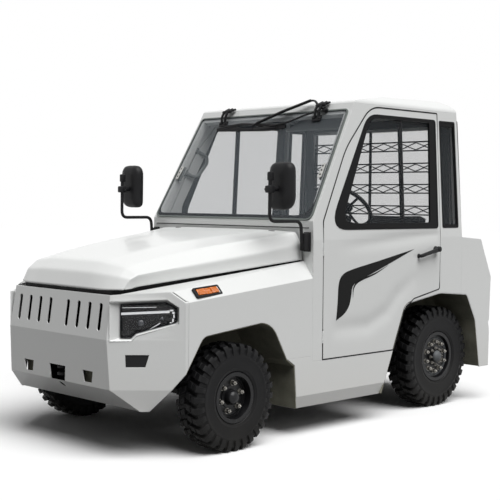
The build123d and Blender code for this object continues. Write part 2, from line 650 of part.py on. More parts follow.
def liner(rows, inner_x):
    """Tub bent along an arch, with a wall towards the frame down to the rails' top."""
    outer = side_prism(rows, inner_x, LINER_OUT_X, grow=-SEAT_GAP)
    tub = outer - side_prism(rows, inner_x - 1, LINER_OUT_X + 1, grow=-SEAT_GAP - LINER)
    wall = side_prism(rows, inner_x, inner_x + LINER, grow=-SEAT_GAP)
    return tub + (wall - block(RAIL_X, BEYOND_X, FRONT_Y, REAR_Y, 0, LINER_LOW_Z))


def below(y_low, y_high, z):
    return block(RAIL_X, BEYOND_X, y_low, y_high, 0, z)


front_liner = liner(FRONT_ARCH, FRONT_LINER_X)
front_liner = front_liner - below(FRONT_Y, COVER_SIDE_Y + 4, 900) - below(FRONT_Y, 0, STEP_FOOT_Z + 4)
ahead_y = REAR_AXLE_Y - 206
rear_liner = liner(REAR_ARCH, REAR_LINER_X)
rear_liner = rear_liner - below(0, ahead_y, STEP_FOOT_Z + 4) - below(ahead_y, REAR_Y, 240)
save("arch_liners", both(group(front_liner, rear_liner)))

# ---------------------------------------------------------------- frame
BEAM = 60.0                  # bumper beam and cross members
BEAM_HALF = 430.0
RAIL_OUT_X = RAIL_X + RAIL_W / 2
RAIL_FRONT_Y = FRAME_FRONT_Y + BEAM
rail = block(RAIL_X - RAIL_W / 2, RAIL_OUT_X, RAIL_FRONT_Y, FRAME_REAR_Y, RAIL_LOW_Z, RAIL_TOP_Z)
save("frame_rails", both(rail))
members = [block(-BEAM_HALF, BEAM_HALF, FRAME_FRONT_Y, RAIL_FRONT_Y, RAIL_LOW_Z, BEAM_TOP_Z)]
member_half = RAIL_X - RAIL_W / 2
for y in (FRONT_AXLE_Y - 186, 300.0, FRAME_REAR_Y - BEAM):
    members.append(block(-member_half, member_half, y, y + BEAM, RAIL_LOW_Z, RAIL_TOP_Z))
save("cross_members", group(*members))
floor = block(-STEP_IN_X, STEP_IN_X, CAB_FRONT_Y + WALL, CAB_REAR_Y - WALL, RAIL_TOP_Z, FLOOR_Z)
save("cab_floor", floor)

# ---------------------------------------------------------------- wheels
BEAD = 0.80                  # share of the tyre's half width where it sits on the rim
SHOULDER = 0.86              # and where its tread begins to fall
SHOULDER_DROP = 24.0
LUGS = 24
LUG_DEPTH = 14.0


def wheel_ring(x, radius, facets):
    """Ring of points about the X axis, with a flat at the bottom."""
    points = []
    for index in range(facets):
        angle = radians(360 / facets * (index + 0.5))
        points.append((x, radius * sin(angle), -radius * cos(angle)))
    return points


def lug_ring(x, top, foot, lug_half, turn):
    """Ring of points round flat-topped lugs with parallel flanks; turn is a share of their pitch."""
    points = []
    for index in range(LUGS):
        angle = radians(360 / LUGS * (index + turn))
        for across, out in ((-lug_half, foot), (-lug_half, top), (lug_half, top), (lug_half, foot)):
            y = out * sin(angle) + across * cos(angle)
            points.append((x, y, across * sin(angle) - out * cos(angle)))
    return points


def tyre(middle_x, radius, width, rim_radius):
    """Flat-sided tyre with two staggered rows of lugs; radius is to the lugs' flats."""
    foot = radius - LUG_DEPTH
    lug_half = foot * tan(radians(90 / LUGS))      # lugs and gaps are equally wide at their foot
    bore_r = rim_radius / cos(radians(180 / LUGS))
    bead_r = rim_radius + 20
    wall_r = (radius + rim_radius) / 2
    halves = []
    for side in (-1, 1):
        turn = (side + 1) / 4
        reach = side * width / 2
        edge_x = middle_x + reach
        bead_x = middle_x + reach * BEAD
        tread = lug_ring(middle_x, radius, foot, lug_half, turn)
        shoulder = lug_ring(middle_x + reach * SHOULDER, radius, foot, lug_half, turn)
        edge = lug_ring(edge_x, radius - SHOULDER_DROP, foot - SHOULDER_DROP, lug_half, turn)
        wall = wheel_ring(edge_x, wall_r, LUGS)
        bead = wheel_ring(bead_x, bead_r, LUGS)
        seat = wheel_ring(bead_x, bore_r, LUGS)
        bore = wheel_ring(middle_x, bore_r, LUGS)
        faces = walls(tread, shoulder) + walls(shoulder, edge) + walls(wall, bead) + walls(seat, bore)
        halves.append(flat_solid(faces + [[edge, wall], [bead, seat], [tread, bore]]))
    return halves[0] + halves[1]


def rim(middle_x, width, rim_radius, dish_x, hub_x_low, hub_x_high, bolt_circle, count):
    """Steel wheel with its hub; the disc stands at dish_x."""
    lip = rim_radius + 14
    bore = SPINDLE_R + PIN_FIT
    flange = middle_x + width / 2 * BEAD + 8
    seat = middle_x + width / 2 * BEAD + SEAT_GAP
    seat_r = rim_radius - SEAT_GAP
    left = [(flange, rim_radius - 8), (flange, lip), (seat, lip), (seat, seat_r)]
    right = [(2 * middle_x - x, r) for x, r in reversed(left)]
    barrel = lathe_x(left + right)
    disc_r = rim_radius - 4
    disc = lathe_x([(dish_x, bore), (dish_x, disc_r), (dish_x + 10, disc_r), (dish_x + 10, bore)])
    hub = lathe_x([
        (hub_x_low, bore), (hub_x_low, 62.0), (dish_x + 16, 62.0), (dish_x + 16, 46.0),
        (hub_x_high, 40.0), (hub_x_high, bore),
    ])
    body = barrel + disc + hub
    for index in range(count):
        angle = radians(360 / count * index + 15)
        y, z = bolt_circle * cos(angle), bolt_circle * sin(angle)
        body += rod((dish_x + 5, y, z), (dish_x + 22, y, z), 8)
    return body


FRONT_DISH_X = FRONT_WHEEL_X + 21
FRONT_HUB_X = (FRONT_WHEEL_X - 41, FRONT_WHEEL_X + 63)
REAR_DISH_X = REAR_WHEEL_X + 48
REAR_HUB_X = (REAR_WHEEL_X - 24, REAR_WHEEL_X + 84)
front_wheel = Pos(0, FRONT_AXLE_Y, FRONT_TYRE_R)
rear_wheel = Pos(0, REAR_AXLE_Y, REAR_TYRE_R)
front_tyre = front_wheel * tyre(FRONT_WHEEL_X, FRONT_TYRE_R, FRONT_TYRE_W, FRONT_RIM_R)
front_rim = front_wheel * rim(FRONT_WHEEL_X, FRONT_TYRE_W, FRONT_RIM_R, FRONT_DISH_X, *FRONT_HUB_X, 78.0, 6)
rear_tyre = rear_wheel * tyre(REAR_WHEEL_X, REAR_TYRE_R, REAR_TYRE_W, REAR_RIM_R)
rear_rim = rear_wheel * rim(REAR_WHEEL_X, REAR_TYRE_W, REAR_RIM_R, REAR_DISH_X, *REAR_HUB_X, 100.0, 10)
WHEEL_PIECES = {
    "front_tyre": front_tyre, "front_rim": front_rim, "rear_tyre": rear_tyre, "rear_rim": rear_rim,
}
for name, shape in WHEEL_PIECES.items():
    save(f"{name}_left", shape)
    save(f"{name}_right", mirrored(shape))

# ---------------------------------------------------------------- axles and steering knuckles
EYE_HALF = 45.0              # half height of the axle's kingpin eye
BEAM_Z = FRONT_TYRE_R
front_axle = block(-KINGPIN_X, KINGPIN_X, FRONT_AXLE_Y - 35, FRONT_AXLE_Y + 35, BEAM_Z - 32, BEAM_Z + 32)
for side in (-1, 1):
    pin_at = (side * KINGPIN_X, FRONT_AXLE_Y)
    front_axle += rod((*pin_at, BEAM_Z - EYE_HALF), (*pin_at, BEAM_Z + EYE_HALF), 36)
for side in (-1, 1):
    pin_at = (side * KINGPIN_X, FRONT_AXLE_Y)
    front_axle -= rod((*pin_at, BEAM_Z - 60), (*pin_at, BEAM_Z + 60), KINGPIN_R + PIN_FIT)
for side in (-1, 1):
    low, high = sorted((side * (RAIL_X - 40), side * (RAIL_X + 40)))
    front_axle += block(low, high, FRONT_AXLE_Y - 60, FRONT_AXLE_Y + 60, BEAM_Z + 30, RAIL_TOP_Z - 70)
    front_axle -= block(low - 1, high + 1, FRONT_AXLE_Y - 70, FRONT_AXLE_Y + 70, RAIL_LOW_Z, RAIL_TOP_Z)
save("front_axle", front_axle)

ARM = 20.0
YOKE_HALF = EYE_HALF + ARM + 1       # half height of the knuckle's yoke
yoke_low = BEAM_Z - YOKE_HALF
yoke_high = BEAM_Z + YOKE_HALF
yoke_y = (FRONT_AXLE_Y - 28, FRONT_AXLE_Y + 28)
knuckle = rod((KINGPIN_X, FRONT_AXLE_Y, yoke_low), (KINGPIN_X, FRONT_AXLE_Y, yoke_high), KINGPIN_R)
for low in (yoke_low, yoke_high - ARM):
    knuckle += block(KINGPIN_X - 26, KINGPIN_X + 62, *yoke_y, low, low + ARM)
knuckle += block(KINGPIN_X + 44, KINGPIN_X + 70, *yoke_y, yoke_low, yoke_high)
spindle_end = FRONT_HUB_X[1] - 4
knuckle += rod((KINGPIN_X + 60, FRONT_AXLE_Y, BEAM_Z), (spindle_end, FRONT_AXLE_Y, BEAM_Z), SPINDLE_R)
save("knuckle_left", knuckle)
save("knuckle_right", mirrored(knuckle))

def across(half, radius):
    """Round bar across the tug on the rear wheels' axis."""
    return rod((-half, REAR_AXLE_Y, REAR_TYRE_R), (half, REAR_AXLE_Y, REAR_TYRE_R), radius)


rear_axle = across(REAR_HUB_X[0] - 8, 55) + across(REAR_HUB_X[1] - 4, SPINDLE_R) + across(120, 80)
for side in (-1, 1):
    low, high = sorted((side * (RAIL_X - RAIL_W / 2), side * RAIL_OUT_X))
    rear_axle -= block(low, high, REAR_AXLE_Y - 70, REAR_AXLE_Y + 70, RAIL_LOW_Z, RAIL_TOP_Z)
save("rear_axle", rear_axle)

# ---------------------------------------------------------------- engine, interior
radiator = block(-380, 380, FRAME_FRONT_Y, FRAME_FRONT_Y + 50, BEAM_TOP_Z, 850)
save("radiator", radiator)
RIM_T = 6.0
RIM_SHELF_Z = 858.0


def rim_strip(start, end, low_start, low_end, rise_start, rise_end):
    """Upright strip between two points in plan, its foot and height given at both ends."""
    along = Vector(end[0] - start[0], end[1] - start[1]).normalized() * RIM_T
    rings = []
    for (x, y), low, rise, reach in ((start, low_start, rise_start, -0.5), (end, low_end, rise_end, 0.5)):
        x, y = x + along.X * reach, y + along.Y * reach
        rings.append([(x, y, low), (x - along.Y, y + along.X, low),
                      (x - along.Y, y + along.X, low + rise), (x, y, low + rise)])
    return stack(rings)


def ledge_at(y):
    """Inner edge of the fender's top at y: x, z."""
    front, rear = SHOULDER_ROWS
    share = (y - front[0]) / (rear[0] - front[0])
    return front[1] + (rear[1] - front[1]) * share, front[2] + (rear[2] - front[2]) * share


RIM_FRONT_Y = FRONT_Y + 79
RIM_CORNER = (HALF_WIDTH - 287, FRONT_Y + 130)
RIM_REAR = (HALF_WIDTH - 108, CAB_FRONT_Y - 4)
front_strip_x = RIM_CORNER[0] - 40
corner_edge_x, corner_edge_z = ledge_at(RIM_CORNER[1])
rear_edge_x, rear_edge_z = ledge_at(RIM_REAR[1])
corner_z = corner_edge_z - 10
rim_front_end = (front_strip_x - 2, RIM_FRONT_Y)
front_strip = rim_strip((front_strip_x, RIM_FRONT_Y), (-1.0, RIM_FRONT_Y), RIM_SHELF_Z, RIM_SHELF_Z, 45, 45)
corner_strip = rim_strip(RIM_CORNER, rim_front_end, corner_z, RIM_SHELF_Z, 40, 45)
side_strip = rim_strip(RIM_REAR, RIM_CORNER, rear_edge_z - 10, corner_z, 32, 40)
shelf_y = (RIM_FRONT_Y - 40.6, RIM_FRONT_Y + 1)
front_shelf = block(-1, front_strip_x + 20, *shelf_y, RIM_SHELF_Z, RIM_SHELF_Z + 8)
side_shelf = stack([
    [(x, y, z - 10), (edge + 12, y, z - 10), (edge + 12, y, z - SHEET), (x, y, z - SHEET)]
    for x, y, edge, z in (
        (RIM_CORNER[0], RIM_CORNER[1], corner_edge_x, corner_edge_z),
        (RIM_REAR[0], RIM_REAR[1], rear_edge_x, rear_edge_z),
    )
])
rim_half = front_strip + corner_strip + side_strip + front_shelf + side_shelf - fender
rim_half = max(rim_half.solids(), key=lambda solid: solid.volume)
save("hood_rim", rim_half + mirrored(rim_half))
engine = block(-RAIL_X, RAIL_X, FRONT_AXLE_Y + 94, CAB_FRONT_Y - 50, RAIL_TOP_Z, 880)
save("engine_block", engine)
DASH = (
    # side profile of the dashboard: y, z
    (CAB_FRONT_Y + WALL, 820.0, 0.0),
    (CAB_FRONT_Y + WALL, 1235.0, 0.0),
    (-60.0, 1235.0, 0.0),
    (60.0, 1130.0, 0.0),
    (90.0, 1040.0, 0.0),
    (60.0, 900.0, 0.0),
    (-100.0, 820.0, 0.0),
)
DASH_HALF = HALF_WIDTH - 47
SHAFT_R = 10.0
WHEEL_HUB = 26.0            # from the column's head up to the wheel's middle
STEER = Plane(origin=(330.0, 450.0, 1345.0), x_dir=(1, 0, 0), z_dir=(0, 1.0, 1.0))
dashboard = side_prism(DASH, -DASH_HALF, DASH_HALF)
column = extrude(STEER.offset(-WHEEL_HUB) * Circle(24), -600)
column += extrude(STEER.offset(-WHEEL_HUB) * Circle(SHAFT_R), WHEEL_HUB)
ahead = block(-BEYOND_X, BEYOND_X, FRONT_Y, CAB_FRONT_Y + 320, 0, TOP_Z)
save("dashboard", dashboard + (column - ahead))
wheel = STEER * Torus(175, 13)
wheel += extrude(STEER.offset(SEAT_GAP - WHEEL_HUB) * Circle(36), WHEEL_HUB + 14)
for angle in (90, 210, 330):
    wheel += STEER * Rot(0, 0, angle) * Pos(100, 0, 0) * Box(150, 22, 10)
wheel -= extrude(STEER.offset(-WHEEL_HUB - 1) * Circle(SHAFT_R + PIN_FIT), WHEEL_HUB + 2)
save("steering_wheel", wheel)
seat_base = block(90, 400, 560, 960, FLOOR_Z, 800)
save("seat_bases", both(seat_base))
cushion = block(85, 575, 480, 930, 800, 900)
back_foot = 900 + SEAT_GAP
backrest = side_prism(((830, back_foot, 0), (950, 1290, 0), (1030, 1280, 0), (930, back_foot, 0)), 95, 565)
save("seat_cushions", both(group(cushion, backrest)))

# ---------------------------------------------------------------- mirrors
MIRROR_X = HALF_WIDTH - 54
MIRROR_TUBE_Y = -634.0
MIRROR_TUBE_R = 9.0
MIRROR_Z = 1455.0
mirror_head = Pos(MIRROR_X + 9, -544, MIRROR_Z) * Box(190, 60, 280)
mirror_head = fillet(mirror_head.edges().filter_by(Axis.Y), 40)
mirror_route = (
    (MIRROR_X, MIRROR_TUBE_Y, 1537.0),
    (MIRROR_X, MIRROR_TUBE_Y, 1323.0),
    (MIRROR_X + 8, -381.0, 1262.0),
    (MIRROR_X + 8, -352.0, 1120.0),
)
mirror_arm = None
for start, end in zip(mirror_route, mirror_route[1:]):
    piece = rod(start, end, MIRROR_TUBE_R) + Pos(*end) * Sphere(MIRROR_TUBE_R)
    mirror_arm = piece if mirror_arm is None else mirror_arm + piece
mirror_arm += block(MIRROR_X - 13, MIRROR_X + 29, -372, CAB_FRONT_Y, 1089, 1192)
mirror_arm += rod((MIRROR_X, MIRROR_TUBE_Y, MIRROR_Z), (MIRROR_X, -560, MIRROR_Z), 12)
save("mirrors", both(mirror_arm + mirror_head))

# ---------------------------------------------------------------- lamps, guard, hitch
MARKER_Y = -1130.0
front_row, rear_row = SHOULDER_ROWS
share = (MARKER_Y - front_row[0]) / (rear_row[0] - front_row[0])
_, _, _, shoulder_x, shoulder_z, crease_z = [a + (b - a) * share for a, b in zip(front_row, rear_row)]
MARKER = Plane(
    origin=((shoulder_x + HALF_WIDTH) / 2, MARKER_Y, (shoulder_z + crease_z) / 2),
    x_dir=(0, 1.0, 0.109), z_dir=(shoulder_z - crease_z, 0.0, HALF_WIDTH - shoulder_x),
)   # the shoulder's slope at the marker lamp: x back along it, z out of it
marker = extrude(MARKER.offset(-8) * Rectangle(150, 62), 20) - fender_body
save("marker_lamps", both(marker))

# guard inside the rear glass: bands of crossed strips between two bars, and posts
GUARD_Y = CAB_REAR_Y - 36
GUARD_T = 6.0
BAND_FEET = (1288.0, 1440.0, 1588.0, 1738.0)
BAND_H = 68.0
BAR_H = 8.0
STRIP_HALF = 5.0             # half of a strip's width, along the bars
CROSS_HALF = 72.0            # half of the pitch of the crosses
CROSSES = 9
POSTS = (-600.0, -50.0, 600.0)


def band_holes(foot):
    """Triangles above and below each cross and diamonds between the crosses."""
    low = foot + BAR_H
    high = foot + BAND_H - BAR_H
    middle = (low + high) / 2
    rise = STRIP_HALF * (high - low) / (2 * CROSS_HALF)
    reach = CROSS_HALF - STRIP_HALF
    holes = []
    for index in range(CROSSES):
        x = (index - (CROSSES - 1) / 2) * 2 * CROSS_HALF
        holes.append(((x - reach, high), (x + reach, high), (x, middle + rise)))
        holes.append(((x - reach, low), (x + reach, low), (x, middle - rise)))
        if index:
            x -= CROSS_HALF
            holes.append(((x - reach, middle), (x, high - rise), (x + reach, middle), (x, low + rise)))
    return holes


def guard_sheet(face):
    return extrude(Plane.XZ.offset(-GUARD_Y - GUARD_T) * face, GUARD_T)


def upright_face(x_low, x_high, z_low, z_high):
    return Pos((x_low + x_high) / 2, (z_low + z_high) / 2) * Rectangle(x_high - x_low, z_high - z_low)


guard = None
for foot in BAND_FEET:
    cuts = [make_face(Polyline(*hole, close=True)) for hole in band_holes(foot)]
    band = guard_sheet(upright_face(-650, 650, foot, foot + BAND_H) - cuts)
    guard = band if guard is None else guard + band
for x in POSTS:
    guard += guard_sheet(upright_face(x - 8, x + 8, DECK_Z + 20, WINDOW_HEAD_Z + 6))
save("window_guard", guard & rear_hole)

# hitch: two ears with a bore for the drawbar pin, and the pin parked in its tube
HITCH_BORE_R = 16.0
PLATE_REAR_Y = REAR_Y - 10
HITCH_Y = PLATE_REAR_Y + 61
HITCH_LOW_Z = 310.0
EAR = 20.0
MOUTH = 64.0
HITCH_TOP_Z = HITCH_LOW_Z + 2 * EAR + MOUTH
TUBE_X = 96.0
TUBE_R = 24.0
TUBE_TOP_Z = HITCH_LOW_Z + 90
TUBE_Y = PLATE_REAR_Y + TUBE_R - 4
PIN_R = 15.0


def hitch_rod(low, high, radius):
    return rod((0, HITCH_Y, low), (0, HITCH_Y, high), radius)


def tube_rod(low, high, radius):
    return rod((TUBE_X, TUBE_Y, low), (TUBE_X, TUBE_Y, high), radius)


hitch = block(-110, 130, FRAME_REAR_Y, PLATE_REAR_Y, HITCH_LOW_Z - 10, HITCH_TOP_Z + 10)
for low in (HITCH_LOW_Z, HITCH_TOP_Z - EAR):
    hitch += block(-60, 60, PLATE_REAR_Y, HITCH_Y, low, low + EAR) + hitch_rod(low, low + EAR, 35)
hitch -= hitch_rod(HITCH_LOW_Z - 20, HITCH_TOP_Z + 20, HITCH_BORE_R)
hitch += tube_rod(HITCH_LOW_Z - 10, TUBE_TOP_Z, TUBE_R)
hitch -= tube_rod(HITCH_LOW_Z - 20, TUBE_TOP_Z + 1, PIN_R + PIN_FIT)
save("rear_hitch", hitch)
pin = tube_rod(HITCH_LOW_Z - 5, TUBE_TOP_Z + 30, PIN_R) + tube_rod(TUBE_TOP_Z + 25, TUBE_TOP_Z + 40, 10)
pin += tube_rod(TUBE_TOP_Z + SEAT_GAP, TUBE_TOP_Z + 10, 18.5)
pin += rod((TUBE_X - 45, TUBE_Y, TUBE_TOP_Z + 40), (TUBE_X + 45, TUBE_Y, TUBE_TOP_Z + 40), 8)
save("hitch_pin", pin)

TOW_Z = 400.0                # foot of the front tow bracket's lower ear
TOW_EAR = 14.0
TOW_MOUTH = 26.0
TOW_TOP_Z = TOW_Z + 2 * TOW_EAR + TOW_MOUTH
tow_plate_y = FRAME_FRONT_Y - 16


def tow_rod(low, high, radius):
    return rod((0, FRONT_TOW_Y, low), (0, FRONT_TOW_Y, high), radius)


tow_pieces = [block(-55, 55, tow_plate_y, FRAME_FRONT_Y, TOW_Z - 60, TOW_TOP_Z + 4)]
for low in (TOW_Z, TOW_TOP_Z - TOW_EAR):
    high = low + TOW_EAR
    ear = block(-45, 45, FRONT_TOW_Y, tow_plate_y, low, high) + tow_rod(low, high, 30)
    tow_pieces.append(ear - tow_rod(low - 1, high + 1, FRONT_TOW_R))
save("front_tow_bracket", group(*tow_pieces))
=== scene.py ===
"""Airport baggage tug: finishes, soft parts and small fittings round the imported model.

Metres, in the model's own frame: the tug faces -Y, its left side is +X, the ground is z = 0.
Pieces that come in pairs are drawn on the left side and mirrored.
"""
from math import atan2, cos, exp, pi, radians, sin, tan

import bmesh
import bpy
from mathutils import Matrix, Vector


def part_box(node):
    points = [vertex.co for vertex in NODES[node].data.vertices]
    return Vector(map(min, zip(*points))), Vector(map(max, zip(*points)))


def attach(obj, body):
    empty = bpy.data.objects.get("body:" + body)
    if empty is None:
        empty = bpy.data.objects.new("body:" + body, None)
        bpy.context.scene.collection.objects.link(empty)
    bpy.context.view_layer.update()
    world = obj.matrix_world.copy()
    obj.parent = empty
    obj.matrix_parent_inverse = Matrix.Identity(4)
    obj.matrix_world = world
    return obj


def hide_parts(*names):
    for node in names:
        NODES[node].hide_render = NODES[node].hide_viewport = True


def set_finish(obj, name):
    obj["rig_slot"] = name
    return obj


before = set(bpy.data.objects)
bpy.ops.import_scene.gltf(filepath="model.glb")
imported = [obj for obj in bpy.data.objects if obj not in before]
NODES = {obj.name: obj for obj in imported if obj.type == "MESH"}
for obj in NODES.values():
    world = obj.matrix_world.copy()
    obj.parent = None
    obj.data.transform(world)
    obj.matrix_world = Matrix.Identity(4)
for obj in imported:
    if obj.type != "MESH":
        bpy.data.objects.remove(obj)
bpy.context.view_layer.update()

# ------------------------ sizes of the model
HALF_WIDTH = 0.737
BELT_Z = 1.150              # the cab side leans inwards above this line
ROOF_SIDE_Z = 2.000
ROOF_HALF = 0.690
SHIELD_FOOT = Vector((0.0, -0.320, 1.262))
SHIELD_HEAD = Vector((0.0, 0.065, 1.946))
REAR_FOOT = Vector((0.0, 1.178, 1.130))
REAR_HEAD = Vector((0.0, 1.148, 2.030))
FRONT_AXLE = Vector((0.681, -0.964, 0.299))
REAR_AXLE = Vector((0.584, 1.006, 0.338))
SIDES = ((1, "left"), (-1, "right"))


# ------------------------ materials
def shader(name):
    """New node material: the material, its node tree and its Principled shader."""
    material = bpy.data.materials.new(name)
    material.use_nodes = True
    return material, material.node_tree, material.node_tree.nodes["Principled BSDF"]


def put(target, inputs):
    """Sets a node's inputs to values, or links them to the outputs of other nodes."""
    for key, value in inputs.items():
        if isinstance(value, bpy.types.NodeSocket):
            target.id_data.links.new(value, target.inputs[key])
        else:
            target.inputs[key].default_value = value


def node(tree, kind, output, inputs=None, **settings):
    """An output of a new shader node, which gets these settings and inputs."""
    made = tree.nodes.new("ShaderNode" + kind)
    for key, value in settings.items():
        setattr(made, key, value)
    put(made, inputs or {})
    return made.outputs[output]


def opaque(colour, share=1.0):
    """A share of a colour, with its alpha."""
    return (*[min(part * share, 1.0) for part in colour], 1.0)


def mixed(tree, factor, a, b):
    return node(tree, "Mix", "Result", {"Factor": factor, "A": a, "B": b}, data_type="RGBA")


def finish(name, colour, roughness, metallic=0.0, coat=0.0, tint=0.06, tint_size=0.25,
           grain=0.0, grain_size=0.002, rough_change=0.08, edge=0.0, dust=None, dust_height=0.0,
           shine=0.5):
    """Paint, plastic, rubber or metal: uneven colour and gloss, grain, rounded edges and dust."""
    material, tree, bsdf = shader(name)
    place = node(tree, "TexCoord", "Object")
    broad = node(tree, "TexNoise", "Fac", {"Vector": place, "Scale": 1 / tint_size, "Detail": 5.0})
    spread = node(tree, "MapRange", "Result", {"Value": broad, "From Min": 0.3, "From Max": 0.7,
                                               "To Min": 1 - tint, "To Max": 1 + tint})
    shade = node(tree, "VectorMath", "Vector", {0: colour, "Scale": spread}, operation="SCALE")
    if dust:
        height = node(tree, "SeparateXYZ", "Z", {"Vector": place})
        fade = node(tree, "MapRange", "Result", {"Value": height, "From Min": dust_height, "From Max": 0.0})
        patch = node(tree, "Math", "Value", {0: fade, 1: broad}, operation="MULTIPLY")
        shade = mixed(tree, patch, shade, opaque(dust))
    gloss = node(tree, "MapRange", "Result", {"Value": broad, "To Min": max(roughness - rough_change, 0.02),
                                              "To Max": min(roughness + rough_change, 1.0)})
    put(bsdf, {"Base Color": shade, "Roughness": gloss, "Metallic": metallic, "Specular IOR Level": shine,
               "Coat Weight": coat, "Coat Roughness": 0.08})
    normal = {}
    if edge:
        normal["Normal"] = node(tree, "Bevel", "Normal", {"Radius": edge}, samples=4)
    if grain:
        fine = node(tree, "TexNoise", "Fac", {"Vector": place, "Scale": 1 / grain_size, "Detail": 2.0})
        normal["Normal"] = node(tree, "Bump", "Normal", {"Height": fine, "Distance": grain, **normal})
    put(bsdf, normal)
    return material


def see_through(name, colour, alpha):
    """Glass or clear plastic as a thin tinted haze over what lies behind it."""
    material, tree, bsdf = shader(name)
    smear = node(tree, "TexNoise", "Fac", {"Vector": node(tree, "TexCoord", "Object"), "Scale": 3.0})
    put(bsdf, {"Base Color": mixed(tree, smear, opaque(colour, 0.93), opaque(colour, 1.07)),
               "Alpha": alpha, "Roughness": 0.02, "IOR": 1.5})
    material.surface_render_method = "BLENDED"
    return material


def lamp_lens(name, colour, direction, rib):
    """Coloured lens with moulded ribs, which follow one another in a direction and widen with rib."""
    material, tree, bsdf = shader(name)
    ribs = node(tree, "TexWave", "Fac", {"Vector": node(tree, "TexCoord", "Object"), "Scale": 1 / rib},
                bands_direction=direction)
    put(bsdf, {"Base Color": mixed(tree, ribs, opaque(colour), opaque(colour, 0.55)),
               "Normal": node(tree, "Bump", "Normal", {"Height": ribs, "Distance": 0.002}),
               "Roughness": 0.12, "Coat Weight": 0.25, "Specular IOR Level": 0.3})
    return material


PAINT = finish("paint_white", (0.80, 0.81, 0.80), 0.36, coat=0.22, tint=0.012, tint_size=0.9,
               grain=0.00012, grain_size=0.012, rough_change=0.06, edge=0.004,
               dust=(0.70, 0.68, 0.64), dust_height=0.55)
PLASTIC = finish("plastic_black", (0.011, 0.011, 0.012), 0.45, tint=0.15, grain=0.0004,
                 grain_size=0.0015, edge=0.002, shine=0.18)
STEEL = finish("steel_black", (0.010, 0.010, 0.011), 0.55, tint=0.3, grain=0.0005, grain_size=0.006,
               edge=0.002, dust=(0.04, 0.038, 0.034), dust_height=0.5, shine=0.14)
RIM_PAINT = finish("rim_enamel", (0.008, 0.008, 0.009), 0.30, tint=0.3, grain=0.0003, grain_size=0.01,
                   edge=0.002, shine=0.28)
IRON = finish("iron_cast", (0.10, 0.105, 0.11), 0.6, metallic=0.3, tint=0.3, grain=0.001, grain_size=0.008,
              edge=0.003, shine=0.3)
ZINC = finish("zinc_plate", (0.50, 0.50, 0.48), 0.38, metallic=1.0, tint=0.2, tint_size=0.03, grain=0.0002)
NUT_STEEL = finish("nut_steel", (0.27, 0.26, 0.24), 0.42, metallic=1.0, tint=0.35, tint_size=0.02,
                   grain=0.0002)
CHROME = finish("reflector", (0.85, 0.86, 0.88), 0.12, metallic=1.0, tint=0.05, rough_change=0.03)
RUBBER = finish("rubber_tyre", (0.0055, 0.0055, 0.006), 0.52, tint=0.35, tint_size=0.08, grain=0.0006,
                grain_size=0.004, dust=(0.016, 0.015, 0.013), dust_height=0.35, shine=0.16)
# black rubber of the seals; also the finish of the strips that paint the shadow in the door gaps and the shut
# line over the step
SEAL_AND_GAP_SHADE = finish("rubber_seal_and_gap_shade", (0.006, 0.006, 0.0065), 0.5, tint=0.2, grain=0.0002, shine=0.10)
GASKET = finish("rubber_grey", (0.17, 0.19, 0.18), 0.6, tint=0.12, grain=0.0003, shine=0.3)
LINER = finish("liner_olive", (0.25, 0.245, 0.195), 0.9, tint=0.25, tint_size=0.12, grain=0.002,
               grain_size=0.012, shine=0.2)
LINING = finish("lining_grey", (0.045, 0.052, 0.052), 0.85, tint=0.12, grain=0.0008,
                grain_size=0.004, shine=0.2)
VINYL = finish("vinyl_black", (0.014, 0.014, 0.015), 0.55, tint=0.15, grain=0.0008,
               grain_size=0.004, shine=0.25)
TRIM = finish("trim_grey", (0.24, 0.255, 0.25), 0.7, tint=0.1, grain=0.0005, grain_size=0.003, shine=0.3)
DECAL = finish("decal_black", (0.005, 0.005, 0.005), 0.4, tint=0.1, shine=0.10)
SCREEN = finish("dial_face", (0.03, 0.035, 0.045), 0.15, coat=1.0, tint=0.1)
PALE = finish("dial_marks", (0.75, 0.76, 0.74), 0.4, tint=0.05)
BLACK_LENS = finish("lamp_dark", (0.005, 0.005, 0.006), 0.18, coat=0.25, tint=0.2, shine=0.25)
GLASS = see_through("glass_tinted", (0.045, 0.055, 0.066), 0.15)
SHIELD_GLASS = see_through("glass_windshield", (0.18, 0.21, 0.235), 0.19)
CLEAR = see_through("lens_clear", (0.08, 0.085, 0.09), 0.07)
MIRROR = finish("mirror_silver", (0.80, 0.82, 0.84), 0.04, metallic=1.0, tint=0.02, rough_change=0.01)
AMBER = lamp_lens("lens_amber", (0.86, 0.20, 0.006), "Y", 0.03)
RED = lamp_lens("lens_red", (0.55, 0.012, 0.01), "Z", 0.04)

# finishes of each material slot; the first one is that of the model's own nodes
SLOTS = {
    "white_paint": (PAINT, PALE), "black_steel": (STEEL,), "black_rim": (RIM_PAINT,),
    "engine_iron": (IRON,), "zinc_steel": (ZINC, NUT_STEEL), "tyre_rubber": (RUBBER,),
    "black_plastic": (PLASTIC, SEAL_AND_GAP_SHADE, GASKET, TRIM, DECAL), "liner_plastic": (LINER,),
    "lamp_plastic": (BLACK_LENS, CHROME, SCREEN), "seat_vinyl": (VINYL, LINING),
    "amber_lens": (AMBER,), "red_lens": (RED,), "window_glass": (GLASS, SHIELD_GLASS, CLEAR, MIRROR),
}
SLOT_OF = {material.name: slot for slot, materials in SLOTS.items() for material in materials}


# ------------------------ shapes
def turned(at, z_dir, x_dir=(1, 0, 0)):
    """Placement whose z axis is z_dir and whose x axis is as near x_dir as it can be."""
    z = Vector(z_dir).normalized()
    y = z.cross(Vector(x_dir)).normalized()
    x = y.cross(z)
    return Matrix.Translation(Vector(at)) @ Matrix((x, y, z)).transposed().to_4x4()


def outwards(at):
    """Placement whose z axis points out of the left side."""
    return turned(at, (1, 0, 0), (0, 1, 0))


def circle(radius, sides):
    return [(radius * cos(2 * pi * i / sides), radius * sin(2 * pi * i / sides)) for i in range(sides)]


